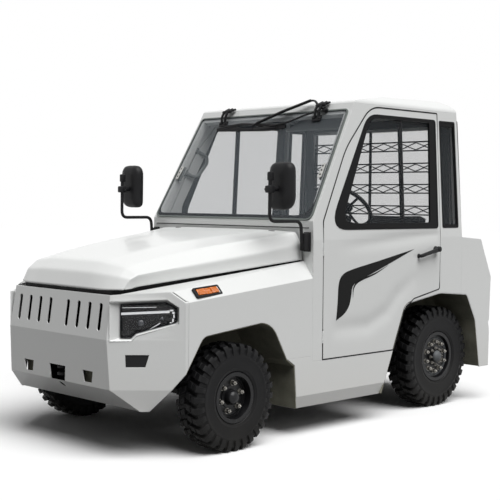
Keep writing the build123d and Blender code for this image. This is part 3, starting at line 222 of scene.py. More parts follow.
def trapezoid(foot, head, low, high, foot_radius, head_radius):
    """Outline from a foot to a head: their half widths, their heights and their corner radii."""
    return ((-foot, low, foot_radius), (foot, low, foot_radius),
            (head, high, head_radius), (-head, high, head_radius))


def rounded(corners, inset=0.0, steps=7):
    """Points of a closed outline of (u, v, radius) corners, moved inwards by inset."""
    count = len(corners)
    area = sum(corners[i][0] * corners[(i + 1) % count][1] - corners[(i + 1) % count][0] * corners[i][1]
               for i in range(count))
    inward = inset if area > 0 else -inset
    lines = []
    for i in range(count):
        a, b = Vector(corners[i][:2]), Vector(corners[(i + 1) % count][:2])
        along = (b - a).normalized()
        lines.append((a + Vector((-along.y, along.x)) * inward, along))
    points = []
    for i in range(count):
        (p, d), (q, e) = lines[i - 1], lines[i]
        cross = d.x * e.y - d.y * e.x
        corner = p + d * (((q - p).x * e.y - (q - p).y * e.x) / cross)
        sign = 1 if (cross > 0) == (area > 0) else -1
        radius = max(corners[i][2] - sign * inset, 0.0005)
        half = abs(atan2(cross, d.dot(e))) / 2
        back = radius * tan(half)
        start, end = corner - d * back, corner + e * back
        for step in range(steps + 1):
            t = step / steps
            bow = start.lerp(corner, t).lerp(corner.lerp(end, t), t)
            points.append((bow.x, bow.y))
    return points


def layers(outline, place, rows):
    """Rings of an outline in the place's x and y, in rows of height along its z and inset."""
    return [[place @ Vector((u, v, height)) for u, v in rounded(outline, inset)] for height, inset in rows]


def bent(points, radius, steps=6):
    """Route through points with its corners rounded."""
    route = [Vector(points[0])]
    for before, here, after in zip(points, points[1:], points[2:]):
        before, here, after = Vector(before), Vector(here), Vector(after)
        reach = min(radius, (here - before).length * 0.48, (after - here).length * 0.48)
        start = here + (before - here).normalized() * reach
        end = here + (after - here).normalized() * reach
        for step in range(steps + 1):
            t = step / steps
            route.append(start.lerp(here, t).lerp(here.lerp(end, t), t))
    return route + [Vector(points[-1])]


def placed(name, data):
    """New object in the scene."""
    made = bpy.data.objects.new(name, data)
    bpy.context.scene.collection.objects.link(made)
    return made


def mounted(made, body, slot, stands_for):
    """The object, riding on a body, in a material slot and in place of nodes of the model."""
    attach(made, body)
    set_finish(made, slot)
    if stands_for:
        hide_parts(*stands_for)
    return made


class Shape:
    """Faces gathered for one piece, to begin with those of any nodes of the model."""

    def __init__(self, *nodes):
        self.mesh = bmesh.new()
        for name in nodes:
            self.mesh.from_mesh(NODES[name].data)

    def weld(self, reach):
        bmesh.ops.remove_doubles(self.mesh, verts=self.mesh.verts[:], dist=reach)

    def strip(self, low, high, closed):
        """Quads between two rows of corners."""
        for i in range(len(low) if closed else len(low) - 1):
            j = (i + 1) % len(low)
            self.mesh.faces.new((low[i], low[j], high[j], high[i]))

    def grid(self, rows, closed=False):
        """Quads between rows of equally many points."""
        made = [[self.mesh.verts.new(point) for point in row] for row in rows]
        for low, high in zip(made, made[1:]):
            self.strip(low, high, closed)
        return made

    def skin(self, rings, first=True):
        """Closed form over rings of points: a face over the last ring and, if wanted, the first."""
        made = self.grid(rings, closed=True)
        if first:
            self.mesh.faces.new(made[0][::-1])
        self.mesh.faces.new(made[-1])

    def box(self, size, place, bevel=0.0, steps=2):
        if not isinstance(place, Matrix):
            place = Matrix.Translation(Vector(place))
        made = bmesh.ops.create_cube(self.mesh, size=1.0, matrix=place @ Matrix.Diagonal((*size, 1.0)))
        if bevel:
            edges = {edge for vert in made["verts"] for edge in vert.link_edges}
            bmesh.ops.bevel(self.mesh, geom=list(edges), offset=bevel, segments=steps,
                            affect="EDGES", profile=0.5)

    def post(self, foot, head, wide, deep):
        """Bar between two points, wide along x."""
        size = (wide, deep, (head - foot).length)
        self.box(size, turned((foot + head) / 2, head - foot), bevel=0.002)

    def lathe(self, rows, place, sides, ends=True):
        """Turned form: rows of (height along z, radius), with a disc over each end."""
        rings = [[place @ Vector((x, y, height)) for x, y in circle(radius, sides)]
                 for height, radius in rows]
        if ends:
            self.skin(rings)
        else:
            self.grid(rings, closed=True)

    def rod(self, start, end, radius, sides=20, bevel=0.0):
        start, end = Vector(start), Vector(end)
        along = end - start
        side = (1, 0, 0) if abs(along.normalized().x) < 0.9 else (0, 1, 0)
        length = along.length
        rows = [(0.0, radius), (length, radius)]
        if bevel:
            rows = [(0.0, radius - bevel), (bevel, radius), (length - bevel, radius),
                    (length, radius - bevel)]
        self.lathe(rows, turned(start, along, side), sides)

    def tube(self, route, radius, sides=12, closed=False, flat=1.0):
        """Round or flattened section carried along a route."""
        route = [Vector(point) for point in route]
        if closed:
            route = route + [route[0], route[1]]
        up = Vector((0, 0, 1))
        if abs((route[1] - route[0]).normalized().z) > 0.9:
            up = Vector((1, 0, 0))
        rings = []
        side = None
        for i, point in enumerate(route[:-1] if closed else route):
            before = route[i - 1] if i else (route[-3] if closed else point)
            after = route[i + 1] if i + 1 < len(route) else point
            along = (after - before).normalized()
            side = along.cross(up) if side is None else (side - along * side.dot(along))
            side = side.normalized()
            lift = side.cross(along) * flat
            rings.append([point + side * x + lift * y for x, y in circle(radius, sides)])
        if closed:
            made = self.grid(rings[:-1], closed=True)
            self.strip(made[-1], made[0], closed=True)
        else:
            self.skin(rings)

    def frame(self, outer, inner, to_point, low, high):
        """Ring from low to high between two outlines, each given with its inset."""
        loops = [[to_point(u, v, w) for u, v in rounded(*outline)]
                 for outline, w in ((outer, low), (outer, high), (inner, high), (inner, low), (outer, low))]
        self.grid(loops, closed=True)

    def mirror(self):
        """Adds the other side's copy."""
        geom = self.mesh.verts[:] + self.mesh.edges[:] + self.mesh.faces[:]
        made = bmesh.ops.duplicate(self.mesh, geom=geom)["geom"]
        for item in made:
            if isinstance(item, bmesh.types.BMVert):
                item.co.x = -item.co.x
        faces = [item for item in made if isinstance(item, bmesh.types.BMFace)]
        bmesh.ops.reverse_faces(self.mesh, faces=faces)
        return self

    def to_data(self, name):
        """Mesh data of the faces, all turned outwards."""
        bmesh.ops.recalc_face_normals(self.mesh, faces=self.mesh.faces[:])
        data = bpy.data.meshes.new(name)
        self.mesh.to_mesh(data)
        self.mesh.free()
        return data

    def piece(self, name, material, body="chassis", slot=None, smooth=35.0, stands_for=()):
        """The finished object; its slot is the material's own where none is given."""
        data = self.to_data(name)
        data.polygons.foreach_set("use_smooth", [True] * len(data.polygons))
        data.set_sharp_from_angle(angle=radians(smooth))
        data.materials.append(material)
        return mounted(placed(name, data), body, slot or SLOT_OF[material.name], stands_for)

    def pair(self, name, material, body, slot=None, smooth=35.0, stands_for=None):
        """A left-hand piece and its mirror copy on the right-hand body."""
        nodes = [(stands_for + "_" + word,) if stands_for else () for _, word in SIDES]
        left = self.piece(name + "_left", material, body + "_left", slot, smooth, nodes[0])
        data = left.data.copy()
        data.transform(Matrix.Diagonal((-1.0, 1.0, 1.0, 1.0)))
        data.flip_normals()
        mounted(placed(name + "_right", data), body + "_right", left["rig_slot"], nodes[1])


def bevelled(made, width, segments, angle):
    bevel = made.modifiers.new("edges", "BEVEL")
    bevel.width = width
    bevel.segments = segments
    bevel.limit_method = "ANGLE"
    bevel.angle_limit = radians(angle)


# ------------------------ surfaces of the model
def side_x(z):
    """Outer face of the cab and body side at a height."""
    return HALF_WIDTH - max(z - BELT_Z, 0.0) * (HALF_WIDTH - ROOF_HALF) / (ROOF_SIDE_Z - BELT_Z)


def on_side(y, z, out=0.0):
    return Vector((side_x(z) + out, y, z))


def on_shield(across, up, out=0.0):
    """Point on the windshield's plane: metres across, up the slope and out of the cab."""
    rise = (SHIELD_HEAD - SHIELD_FOOT).normalized()
    return SHIELD_FOOT + Vector((across, 0, 0)) + rise * up + Vector((0, -rise.z, rise.y)) * out


def on_rear(across, up, out=0.0):
    rise = (REAR_HEAD - REAR_FOOT).normalized()
    return REAR_FOOT + Vector((-across, 0, 0)) + rise * up + Vector((0, rise.z, -rise.y)) * out


CORNER_FOOT = Vector((0.473, -1.620, 0.0))
CORNER_ALONG = Vector((0.645, 0.764, 0.0)).normalized()
CORNER_OUT = Vector((0.764, -0.645, 0.0)).normalized()


def on_corner(along, z, out=0.0):
    """Point on the face across the front corner."""
    return CORNER_FOOT + CORNER_ALONG * along + CORNER_OUT * out + Vector((0, 0, z))


# ------------------------ the model's own nodes
# nodes of each slot, without the _left and _right of a pair; the others are painted white
SLOT_NODES = {
    "black_steel": "frame_rails cross_members front_tow_bracket cab_floor front_axle knuckle rear_axle "
                   "radiator seat_bases window_guard rear_hitch",
    "black_plastic": "door_handle hood_rim dashboard steering_wheel mirrors",
    "window_glass": "door_glass side_and_rear_glass windshield",
    "tyre_rubber": "front_tyre rear_tyre", "black_rim": "front_rim rear_rim",
    "lamp_plastic": "headlamps", "amber_lens": "marker_lamps", "red_lens": "tail_lamps",
    "liner_plastic": "arch_liners", "engine_iron": "engine_block", "seat_vinyl": "seat_cushions",
    "zinc_steel": "hitch_pin",
}


def dress_nodes():
    """Gives every node of the model the finish of its material slot."""
    slots = {name: slot for slot, names in SLOT_NODES.items() for name in names.split()}
    for name, made in NODES.items():
        slot = slots.get(name.removesuffix("_left").removesuffix("_right"), "white_paint")
        made.data.materials.clear()
        made.data.materials.append(SLOTS[slot][0])
    NODES["windshield"].data.materials[0] = SHIELD_GLASS


# ------------------------ hood
HOOD_CAGE = (
    # rows from the front edge to the rear; in each, (x, y, z) from the middle to the side gap
    ((0.0, -1.585, 0.897), (0.237, -1.585, 0.897), (0.372, -1.585, 0.897), (0.430, -1.553, 0.899),
     (0.478, -1.525, 0.901), (0.481, -1.500, 0.903)),
    ((0.0, -1.545, 0.985), (0.237, -1.546, 0.983), (0.386, -1.540, 0.975), (0.440, -1.516, 0.968),
     (0.490, -1.486, 0.955), (0.483, -1.470, 0.905)),
    ((0.0, -1.480, 1.046), (0.237, -1.480, 1.043), (0.390, -1.475, 1.024), (0.425, -1.462, 1.018),
     (0.506, -1.444, 0.978), (0.489, -1.435, 0.914)),
    ((0.0, -1.200, 1.114), (0.277, -1.200, 1.108), (0.397, -1.200, 1.085), (0.452, -1.200, 1.077),
     (0.545, -1.200, 1.012), (0.530, -1.200, 0.941)),
    ((0.0, -0.914, 1.159), (0.317, -0.914, 1.152), (0.400, -0.914, 1.132), (0.500, -0.914, 1.121),
     (0.581, -0.914, 1.044), (0.571, -0.914, 0.970)),
    ((0.0, -0.620, 1.182), (0.345, -0.620, 1.178), (0.406, -0.620, 1.164), (0.552, -0.620, 1.156),
     (0.618, -0.620, 1.084), (0.616, -0.620, 1.003)),
    ((0.0, -0.334, 1.205), (0.370, -0.334, 1.204), (0.412, -0.334, 1.203), (0.604, -0.334, 1.197),
     (0.652, -0.334, 1.124), (0.658, -0.334, 1.033)),
)

# how sharp the hood's lines stay: along its side edge, along its ribs and across its nose
SIDE_CREASE = 0.75
RIB_CREASE = 0.55
NOSE_CREASE = 0.60


def build_hood():
    shape = Shape()
    shape.grid([[Vector((-x, y, z)) for x, y, z in reversed(row[1:])] + [Vector(point) for point in row]
                for row in HOOD_CAGE])
    hood = shape.piece("hood_skin", PAINT, "hood", smooth=60, stands_for=("hood",))
    crease = hood.data.attributes.new("crease_edge", "FLOAT", "EDGE")
    half = len(HOOD_CAGE[0])
    across = 2 * half - 1
    for edge in hood.data.edges:
        columns = {abs(vert % across - (half - 1)) for vert in edge.vertices}
        rows = {vert // across for vert in edge.vertices}
        if columns == {half - 2}:
            crease.data[edge.index].value = SIDE_CREASE
        elif columns in ({1}, {3}):
            crease.data[edge.index].value = RIB_CREASE
        elif rows in ({1}, {2}):
            crease.data[edge.index].value = NOSE_CREASE
    soft = hood.modifiers.new("soft", "SUBSURF")
    soft.levels = 3
    soft.render_levels = 3
    soft.boundary_smooth = "PRESERVE_CORNERS"
    skin = hood.modifiers.new("sheet", "SOLIDIFY")
    skin.thickness = 0.005
    skin.offset = -1.0
    ears = Shape()
    for side, _ in SIDES:
        ears.box((0.048, 0.014, 0.030), (side * 0.430, -0.360, 1.186), bevel=0.003)
    ears.piece("hood_hinge_ears", STEEL, "hood")


# ------------------------ windows
DOOR_WINDOW = ((-0.180, 1.210, 0.100), (0.213, 1.924, 0.150), (0.908, 1.924, 0.025), (0.908, 1.210, 0.025))
QUARTER_WINDOW = ((0.958, 1.212, 0.012), (0.950, 1.922, 0.012), (1.122, 1.922, 0.012), (1.136, 1.212, 0.012))
SHIELD_OUTLINE = trapezoid(0.714, 0.668, 0.006, 0.781, 0.045, 0.030)
REAR_OUTLINE = trapezoid(0.640, 0.606, 0.066, 0.772, 0.020, 0.020)
REAR_SURROUND = trapezoid(0.715, 0.679, 0.020, 0.815, 0.030, 0.030)
# clear parts inside the black borders of the glass
DOOR_CLEAR = ((-0.062, 1.247, 0.070), (0.236, 1.903, 0.110), (0.840, 1.903, 0.015), (0.822, 1.247, 0.015))
QUARTER_CLEAR = ((0.974, 1.234, 0.008), (0.968, 1.888, 0.008), (1.106, 1.888, 0.008), (1.118, 1.234, 0.008))
SHIELD_CLEAR = ((-0.706, 0.034, 0.060), (0.694, 0.034, 0.120), (0.658, 0.774, 0.036), (-0.662, 0.774, 0.030))
STILE_Y = {"left": 0.552, "right": 0.410}
GUARD_SWELL = 0.0030


def build_door_windows():
    """Seals and black borders of the door windows, and the stiles between their panes."""
    seal = Shape()
    seal.frame((DOOR_WINDOW, -0.002), (DOOR_WINDOW, 0.012), on_side, -0.014, 0.002)
    seal.frame((DOOR_WINDOW, 0.008), (DOOR_CLEAR, 0.0), on_side, -0.012, 0.0012)
    seal.pair("door_window_seal", SEAL_AND_GAP_SHADE, "door")
    for side, word in SIDES:
        stile = Shape()
        middle = STILE_Y[word]
        stile.post(on_side(middle, 1.225, -0.020), on_side(middle, 1.915, -0.020), 0.012, 0.036)
        stile.box((0.014, 0.018, 0.070), on_side(middle - 0.006, 1.50, -0.016), bevel=0.003)
        for vert in stile.mesh.verts:
            vert.co.x *= side
        stile.piece("sliding_window_" + word, SEAL_AND_GAP_SHADE, "door_" + word)


def build_fixed_windows():
    """Seals and borders of the quarter windows and the rear one, and the black ring round it."""
    shape = Shape()
    shape.frame((QUARTER_WINDOW, -0.002), (QUARTER_WINDOW, 0.010), on_side, -0.012, 0.002)
    shape.frame((QUARTER_WINDOW, 0.008), (QUARTER_CLEAR, 0.0), on_side, -0.010, -0.002)
    shape.mirror()
    shape.frame((REAR_OUTLINE, -0.004), (REAR_OUTLINE, 0.022), on_rear, -0.004, 0.016)
    shape.frame((REAR_OUTLINE, -0.027), (REAR_OUTLINE, -0.021), on_rear, -0.002, 0.019)
    shape.frame((REAR_SURROUND, 0.0), (REAR_SURROUND, 0.024), on_rear, 0.0, 0.030)
    shape.piece("fixed_window_seals", SEAL_AND_GAP_SHADE)


def build_windshield_seals():
    band = Shape()
    band.frame((SHIELD_OUTLINE, 0.004), (SHIELD_CLEAR, 0.0), on_shield, -0.004, 0.006)
    band.piece("windshield_band", SEAL_AND_GAP_SHADE)
    gasket = Shape()
    gasket.frame((SHIELD_OUTLINE, -0.003), (SHIELD_OUTLINE, 0.006), on_shield, -0.004, 0.009)
    gasket.piece("windshield_seal", GASKET)
    foot = Shape()
    foot.box((1.400, 0.005, 0.005), (0, -0.3215, 1.222))
    foot.piece("windshield_foot_gasket", SEAL_AND_GAP_SHADE)


def build_guard():
    """The guard inside the rear glass, its strips at their full thickness."""
    shape = Shape("window_guard")
    shape.weld(0.00005)
    shape.mesh.normal_update()
    for vert in shape.mesh.verts:
        vert.co += vert.normal * GUARD_SWELL
    shape.piece("guard_strips", STEEL, smooth=20, stands_for=("window_guard",))


# ------------------------ windshield hinges, latches and wiper
SHIELD_NORMAL = on_shield(0, 0, 1) - on_shield(0, 0, 0)
HINGE_ACROSS = (-0.402, 0.452)
LATCHES = ((-0.654, -0.10), (0.652, 0.06))          # metres across, and lean in radians
# points on the windshield: metres across, up the slope and out of it; the hinge arm's are from its hinge
HINGE_ARM = ((-0.012, 0.724, 0.018), (-0.006, 0.760, 0.044), (0.006, 0.800, 0.046), (0.014, 0.832, 0.024))
WIPER_ARM = ((0.492, 0.777, 0.020), (0.440, 0.794, 0.030), (0.388, 0.842, 0.034), (0.350, 0.845, 0.036),
             (0.137, 0.775, 0.036), (-0.063, 0.702, 0.030), (-0.110, 0.686, 0.022))
WIPER_LINK = ((0.447, 0.772, 0.026), (0.334, 0.739, 0.028), (0.206, 0.692, 0.028), (0.060, 0.676, 0.026))
WIPER_BACK = ((-0.454, 0.684, 0.012), (-0.310, 0.700, 0.018), (-0.208, 0.706, 0.020), (-0.056, 0.694, 0.020),
              (0.187, 0.682, 0.012))
WIPER_BLADE = ((-0.458, 0.680, 0.009), (-0.256, 0.672, 0.009), (0.041, 0.662, 0.009), (0.187, 0.676, 0.009))
WIPER_BRIDGES = (((-0.380, 0.676, 0.016), (-0.300, 0.692, 0.016), (-0.200, 0.674, 0.016)),
                 ((-0.110, 0.670, 0.016), (-0.010, 0.690, 0.016), (0.130, 0.668, 0.016)))
WIPER_RODS = (
    # route, radius of its bends, radius, sides, flatness
    (WIPER_ARM, 0.03, 0.0095, 10, 0.7),
    (WIPER_ARM[3:6], 0.03, 0.0150, 12, 0.6),
    (WIPER_LINK, 0.03, 0.0065, 8, 1.0),
    (WIPER_BACK, 0.06, 0.0090, 8, 1.0),
    (WIPER_BLADE, 0.05, 0.0075, 8, 1.6),
    (WIPER_BRIDGES[0], 0.03, 0.0050, 8, 1.0),
    (WIPER_BRIDGES[1], 0.03, 0.0050, 8, 1.0),
)


def flat_on_shield(across, up, out=0.0):
    return turned(on_shield(across, up, out), SHIELD_NORMAL)


def shield_route(points, bend):
    return bent([on_shield(*point) for point in points], bend)


def build_windshield_hinges():
    shape = Shape()
    for across in HINGE_ACROSS:
        shape.box((0.074, 0.040, 0.012), flat_on_shield(across - 0.014, 0.722, 0.012), bevel=0.004)
        for step in (-0.038, 0.010):
            screw = across + step
            shape.rod(on_shield(screw, 0.722, 0.012), on_shield(screw, 0.722, 0.026), 0.009, 14, 0.002)
        for step in (-0.016, 0.016):
            route = shield_route([(across + step + u, up, out) for u, up, out in HINGE_ARM], 0.02)
            shape.tube(route, 0.0085, 10)
        shape.rod(on_shield(across - 0.026, 0.792, 0.044), on_shield(across + 0.046, 0.806, 0.044),
                  0.012, 16, 0.003)
        leaf = turned(on_shield(across + 0.012, 0.826, 0.022), (0, -0.35, 1))
        shape.box((0.078, 0.034, 0.014), leaf, bevel=0.004)
    shape.piece("windshield_hinges", PLASTIC, slot="black_steel")


def build_windshield_latches():
    plates, screws, grips = Shape(), Shape(), Shape()
    for across, lean in LATCHES:
        place = flat_on_shield(across, 0.343, 0.010) @ Matrix.Rotation(lean, 4, "Z")
        plates.box((0.030, 0.098, 0.007), place, bevel=0.003)
        for step in (-0.030, 0.0, 0.030):
            screws.lathe([(0.003, 0.006), (0.005, 0.006)], place @ Matrix.Translation((0, step, 0)), 14)
        grips.box((0.026, 0.110, 0.014), flat_on_shield(across, 0.345, -0.012), bevel=0.004)
    plates.piece("windshield_latches", ZINC)
    screws.piece("windshield_latch_screws", PLASTIC)
    grips.piece("windshield_latch_grips", TRIM)


def build_wiper():
    shape = Shape()
    shape.rod(on_shield(0.492, 0.777, 0.0), on_shield(0.492, 0.777, 0.034), 0.015, 18, 0.003)
    for points, bend, radius, sides, flat in WIPER_RODS:
        shape.tube(shield_route(points, bend), radius, sides, flat=flat)
    shape.box((0.200, 0.018, 0.010), flat_on_shield(0.010, 0.668, 0.018), bevel=0.003)
    shape.piece("wiper", PLASTIC)


# ------------------------ mirrors
MIRROR_AT = (0.692, -0.544, 1.466)
BRACKET_X = 0.694
POST_X = 0.683
POST_Y = -0.634
MIRROR_TUBE = ((POST_X, POST_Y, 1.545), (POST_X, POST_Y, 1.262), (0.691, -0.381, 1.262),
               (0.691, -0.372, 1.130))
MIRROR_OUTLINE = ((-0.093, -0.139, 0.070), (0.088, -0.139, 0.060), (0.093, 0.139, 0.085),
                  (-0.090, 0.139, 0.045))
MIRROR_ROWS = (
    # depth from the rim, inset of the outline
    (-0.036, 0.060), (-0.034, 0.040), (-0.028, 0.018), (-0.014, 0.004), (0.004, 0.0),
    (0.018, 0.001), (0.024, 0.004), (0.026, 0.008), (0.020, 0.011))


def build_mirror_arms():
    arms = Shape()
    arms.tube(bent(MIRROR_TUBE, 0.045, 8), 0.010, 14)
    arms.box((0.042, 0.046, 0.103), (BRACKET_X, -0.347, 1.140), bevel=0.006, steps=3)
    arms.box((0.052, 0.012, 0.115), (BRACKET_X, -0.328, 1.140), bevel=0.003)
    for z in (1.105, 1.175):
        arms.rod((BRACKET_X, -0.374, z), (BRACKET_X, -0.366, z), 0.008, 6)
    arms.box((0.044, 0.044, 0.042), (POST_X, POST_Y, 1.446), bevel=0.008, steps=3)
    arms.rod((POST_X, POST_Y, 1.446), (0.688, -0.572, 1.450), 0.015, 16, 0.002)
    arms.rod((0.655, POST_Y, 1.446), (0.646, POST_Y, 1.446), 0.009, 6)
    arms.box((0.030, 0.030, 0.050), (POST_X, -0.630, 1.520), bevel=0.006)
    arms.mirror().piece("mirror_arms", PLASTIC, stands_for=("mirrors",))


def build_mirror_heads():
    place = turned(MIRROR_AT, (0, 1, 0))
    heads = Shape()
    heads.skin(layers(MIRROR_OUTLINE, place, MIRROR_ROWS))
    heads.mirror().piece("mirror_heads", PLASTIC, smooth=50)
    glass = Shape()
    glass.skin(layers(MIRROR_OUTLINE, place, ((0.0205, 0.012), (0.0225, 0.012))))
    glass.mirror().piece("mirror_glass", MIRROR)


# ------------------------ wheels
# a block of the tread: shares of the pitch between blocks, and whether the tread is raised there
BLOCK = ((0.0, False), (0.05, True), (0.31, True), (0.57, True), (0.62, False), (0.81, False))
TREAD_SKEW = 0.10


def tyre_half(shape, place, half, radius, rim, blocks, depth, stagger):
    """One side of a tyre, from its middle groove to the bead, with blocks round the shoulder."""
    base = radius - depth
    wall = (radius + rim) / 2
    tread = (
        # share of the half width, radius of the blocks, radius between them, narrowing between them
        (0.00, base, base, 0.0), (0.06, base, base, 0.0), (0.08, radius, base, 0.0),
        (0.44, radius, base, 0.0), (0.49, radius - depth * 0.6, base, 0.0), (0.54, radius, base, 0.0),
        (0.86, radius - 0.002, base - 0.002, 0.0), (0.97, radius - 0.016, base - 0.012, 0.05),
        (1.02, radius - 0.040, base - 0.028, 0.11), (1.015, radius - 0.060, radius - 0.058, 0.06),
    )
    sidewall = (
        # share of the half width, radius
        (0.985, radius - 0.068), (1.000, wall + 0.022), (1.012, wall + 0.018), (1.012, wall + 0.012),
        (1.000, wall + 0.008), (0.992, wall - 0.006), (0.980, rim + 0.042), (0.985, rim + 0.036),
        (0.955, rim + 0.032), (0.930, rim + 0.022), (0.82, rim + 0.014), (0.79, rim + 0.001),
    )
    grid = []
    for share, block, groove, narrow in tread + tuple((share, at, at, 0.0) for share, at in sidewall):
        ring = []
        for index in range(blocks):
            for part, raised in BLOCK:
                angle = 2 * pi / blocks * (index + part + stagger) + TREAD_SKEW * min(share, 0.85)
                reach = block if raised else groove
                x = half * (share if raised else share - narrow)
                ring.append(place @ Vector((x, reach * cos(angle), reach * sin(angle))))
        grid.append(ring)
    shape.grid(grid, closed=True)


def build_tyre(axle, hub, side, width, radius, rim, blocks, depth):
    shape = Shape()
    place = Matrix.Translation((side * hub.x, hub.y, hub.z))
    for facing, stagger in ((1, 0.0), (-1, 0.5)):
        faced = place @ Matrix.Diagonal((facing, 1, 1, 1))
        tyre_half(shape, faced, width / 2, radius, rim, blocks, depth, stagger)
    word = dict(SIDES)[side]
    tyre = shape.piece(f"{axle}_tread_{word}", RUBBER, f"{axle}_wheel_{word}", smooth=28,
                       stands_for=(f"{axle}_tyre_{word}",))
    bevelled(tyre, 0.0012, 1, 40)


def nut(shape, place, across, height):
    """Hexagon nut on a washer with the stud's end standing out of it."""
    shape.lathe([(0.0, across * 0.72), (0.003, across * 0.72)], place, 18)
    shape.lathe([(0.003, across * 0.577), (height - 0.002, across * 0.577), (height, across * 0.50)],
                place, 6)
    shape.lathe([(height, across * 0.28), (height + 0.006, across * 0.28), (height + 0.008, across * 0.22)],
                place, 12)


def nut_circle(shape, hub, x, radius, count, first, across, height):
    """Nuts round a hub, the first at an angle in degrees."""
    for index in range(count):
        angle = radians(360 / count * index + first)
        at = (x, hub.y + radius * cos(angle), hub.z + radius * sin(angle))
        nut(shape, outwards(at), across, height)


CAP_RADIUS = 0.040
CAP_ROWS = ((-0.014, 1.0), (0.0, 1.0), (0.012, 0.86), (0.022, 0.55), (0.026, 0.22))


def build_rim_fittings(axle, hub, dish_x, radius, count, cap_x, hub_nuts, cap_finish):
    """Wheel nuts and smaller nuts on the hub, and the rings round them with the hub's cap."""
    bright = Shape()
    nut_circle(bright, hub, dish_x, radius, count, 15, 0.022, 0.026)
    nut_circle(bright, hub, cap_x - 0.012, 0.056, hub_nuts, 0, 0.014, 0.010)
    bright.pair(axle + "_hub_nuts", NUT_STEEL, axle + "_wheel", smooth=30)
    dark = Shape()
    axis = outwards((0, hub.y, hub.z))
    for ring in (radius + 0.020, radius + 0.032):
        dark.lathe([(dish_x - 0.002, ring + 0.005), (dish_x + 0.005, ring + 0.003),
                    (dish_x + 0.005, ring - 0.003), (dish_x - 0.002, ring - 0.005)], axis, 56, ends=False)
    dark.lathe([(cap_x + out, CAP_RADIUS * share) for out, share in CAP_ROWS], axis, 40)
    dark.pair(axle + "_hub_cap", cap_finish, axle + "_wheel", "black_rim", smooth=40)


def build_wheels():
    for side, _ in SIDES:
        build_tyre("front", FRONT_AXLE, side, 0.172, 0.299, 0.127, 30, 0.019)
        build_tyre("rear", REAR_AXLE, side, 0.187, 0.338, 0.152, 32, 0.021)
    build_rim_fittings("front", FRONT_AXLE, 0.712, 0.078, 6, 0.744, 0, RIM_PAINT)
    build_rim_fittings("rear", REAR_AXLE, 0.642, 0.100, 10, 0.668, 8, IRON)
# ------------------------ headlamps, marker lamps, grille
LAMP_OPENING = ((0.008, 0.634, 0.0), (0.008, 0.840, 0.0), (0.312, 0.856, 0.0), (0.374, 0.813, 0.0),
                (0.374, 0.726, 0.0), (0.152, 0.663, 0.0), (0.125, 0.634, 0.0))
LAMP_OUTLINE = ((0.064, 0.650, 0.006), (0.064, 0.828, 0.008), (0.306, 0.838, 0.012), (0.364, 0.808, 0.010),
                (0.364, 0.734, 0.010), (0.148, 0.676, 0.010), (0.122, 0.650, 0.008))


def corner_place(along, z, out=0.0, turn=0.0):
    """Placement on the face across the front corner, turned about its normal."""
    return turned(on_corner(along, z, out), CORNER_OUT, CORNER_ALONG) @ Matrix.Rotation(turn, 4, "Z")


CORNER = corner_place(0, 0)


def build_headlamp_recess():
    tray = Shape()
    tray.grid(layers(LAMP_OPENING, CORNER, ((-0.004, 0.001), (-0.012, 0.001)))
              + layers(LAMP_OUTLINE, CORNER, ((-0.030, 0.0), (-0.050, 0.0)))
              + layers(LAMP_OPENING, CORNER, ((-0.050, 0.001),)), closed=True)
    tray.mirror().piece("headlamp_recess", PAINT, smooth=30, stands_for=("headlamps",))


def build_headlamp_housing():
    dark = Shape()
    dark.skin(layers(LAMP_OUTLINE, CORNER, ((-0.020, 0.001), (-0.030, 0.001), (-0.062, 0.014))), first=False)
    dark.box((0.252, 0.020, 0.026), corner_place(0.192, 0.764, -0.048, 0.05), bevel=0.004)
    dark.box((0.086, 0.070, 0.024), corner_place(0.173, 0.724, -0.050), bevel=0.006)
    dark.box((0.060, 0.046, 0.022), corner_place(0.280, 0.748, -0.049), bevel=0.005)
    dark.mirror().piece("headlamp_housing", BLACK_LENS, smooth=40)


def build_headlamp_reflectors():
    bright = Shape()
    bright.box((0.256, 0.014, 0.006), corner_place(0.196, 0.783, -0.034, 0.045), bevel=0.002)
    bright.box((0.180, 0.003, 0.004), corner_place(0.165, 0.810, -0.044, 0.02))
    for u, v, wide, high in ((0.334, 0.796, 0.020, 0.010), (0.344, 0.783, 0.014, 0.012),
                             (0.347, 0.765, 0.008, 0.020), (0.342, 0.742, 0.010, 0.022),
                             (0.330, 0.730, 0.012, 0.008)):
        bright.box((wide, high, 0.008), corner_place(u, v, -0.034), bevel=0.002)
    bright.box((0.084, 0.005, 0.005), corner_place(0.2395, 0.707, -0.032, 0.56), bevel=0.001)
    bright.mirror().piece("headlamp_reflectors", CHROME, smooth=40)


def build_headlamp_glass():
    eyes = Shape()
    for along, z, radius in ((0.173, 0.727, 0.020), (0.284, 0.752, 0.011)):
        rows = [(radius * 0.55 * sin(a), radius * cos(a)) for a in (0.0, 0.4, 0.8, 1.15, 1.4)]
        eyes.lathe(rows, corner_place(along, z, -0.036), 28)
    eyes.mirror().piece("headlamp_eyes", SCREEN, smooth=50)
    lens = Shape()
    lens.skin(layers(LAMP_OUTLINE, CORNER, ((-0.020, 0.001), (-0.016, 0.001))))
    lens.mirror().piece("headlamp_glass", CLEAR)


MARKER_PLACE = turned((0.7059, -1.130, 0.8870), (0.0701, 0.0, 0.0622), (0.0, 1.0, 0.109))
MARKER_OUTLINE = trapezoid(0.097, 0.097, -0.032, 0.032, 0.010, 0.010)
# sections of the lens: across it (place and height), and along it (place and drop)
LENS_ACROSS = ((-0.0205, 0.004), (-0.0190, 0.011), (-0.006, 0.0135),
               (0.006, 0.0135), (0.0190, 0.011), (0.0205, 0.004))
LENS_ALONG = ((-0.079, 0.004), (-0.074, 0.0), (-0.022, 0.0), (-0.020, 0.003),
              (0.020, 0.003), (0.022, 0.0), (0.074, 0.0), (0.079, 0.004))


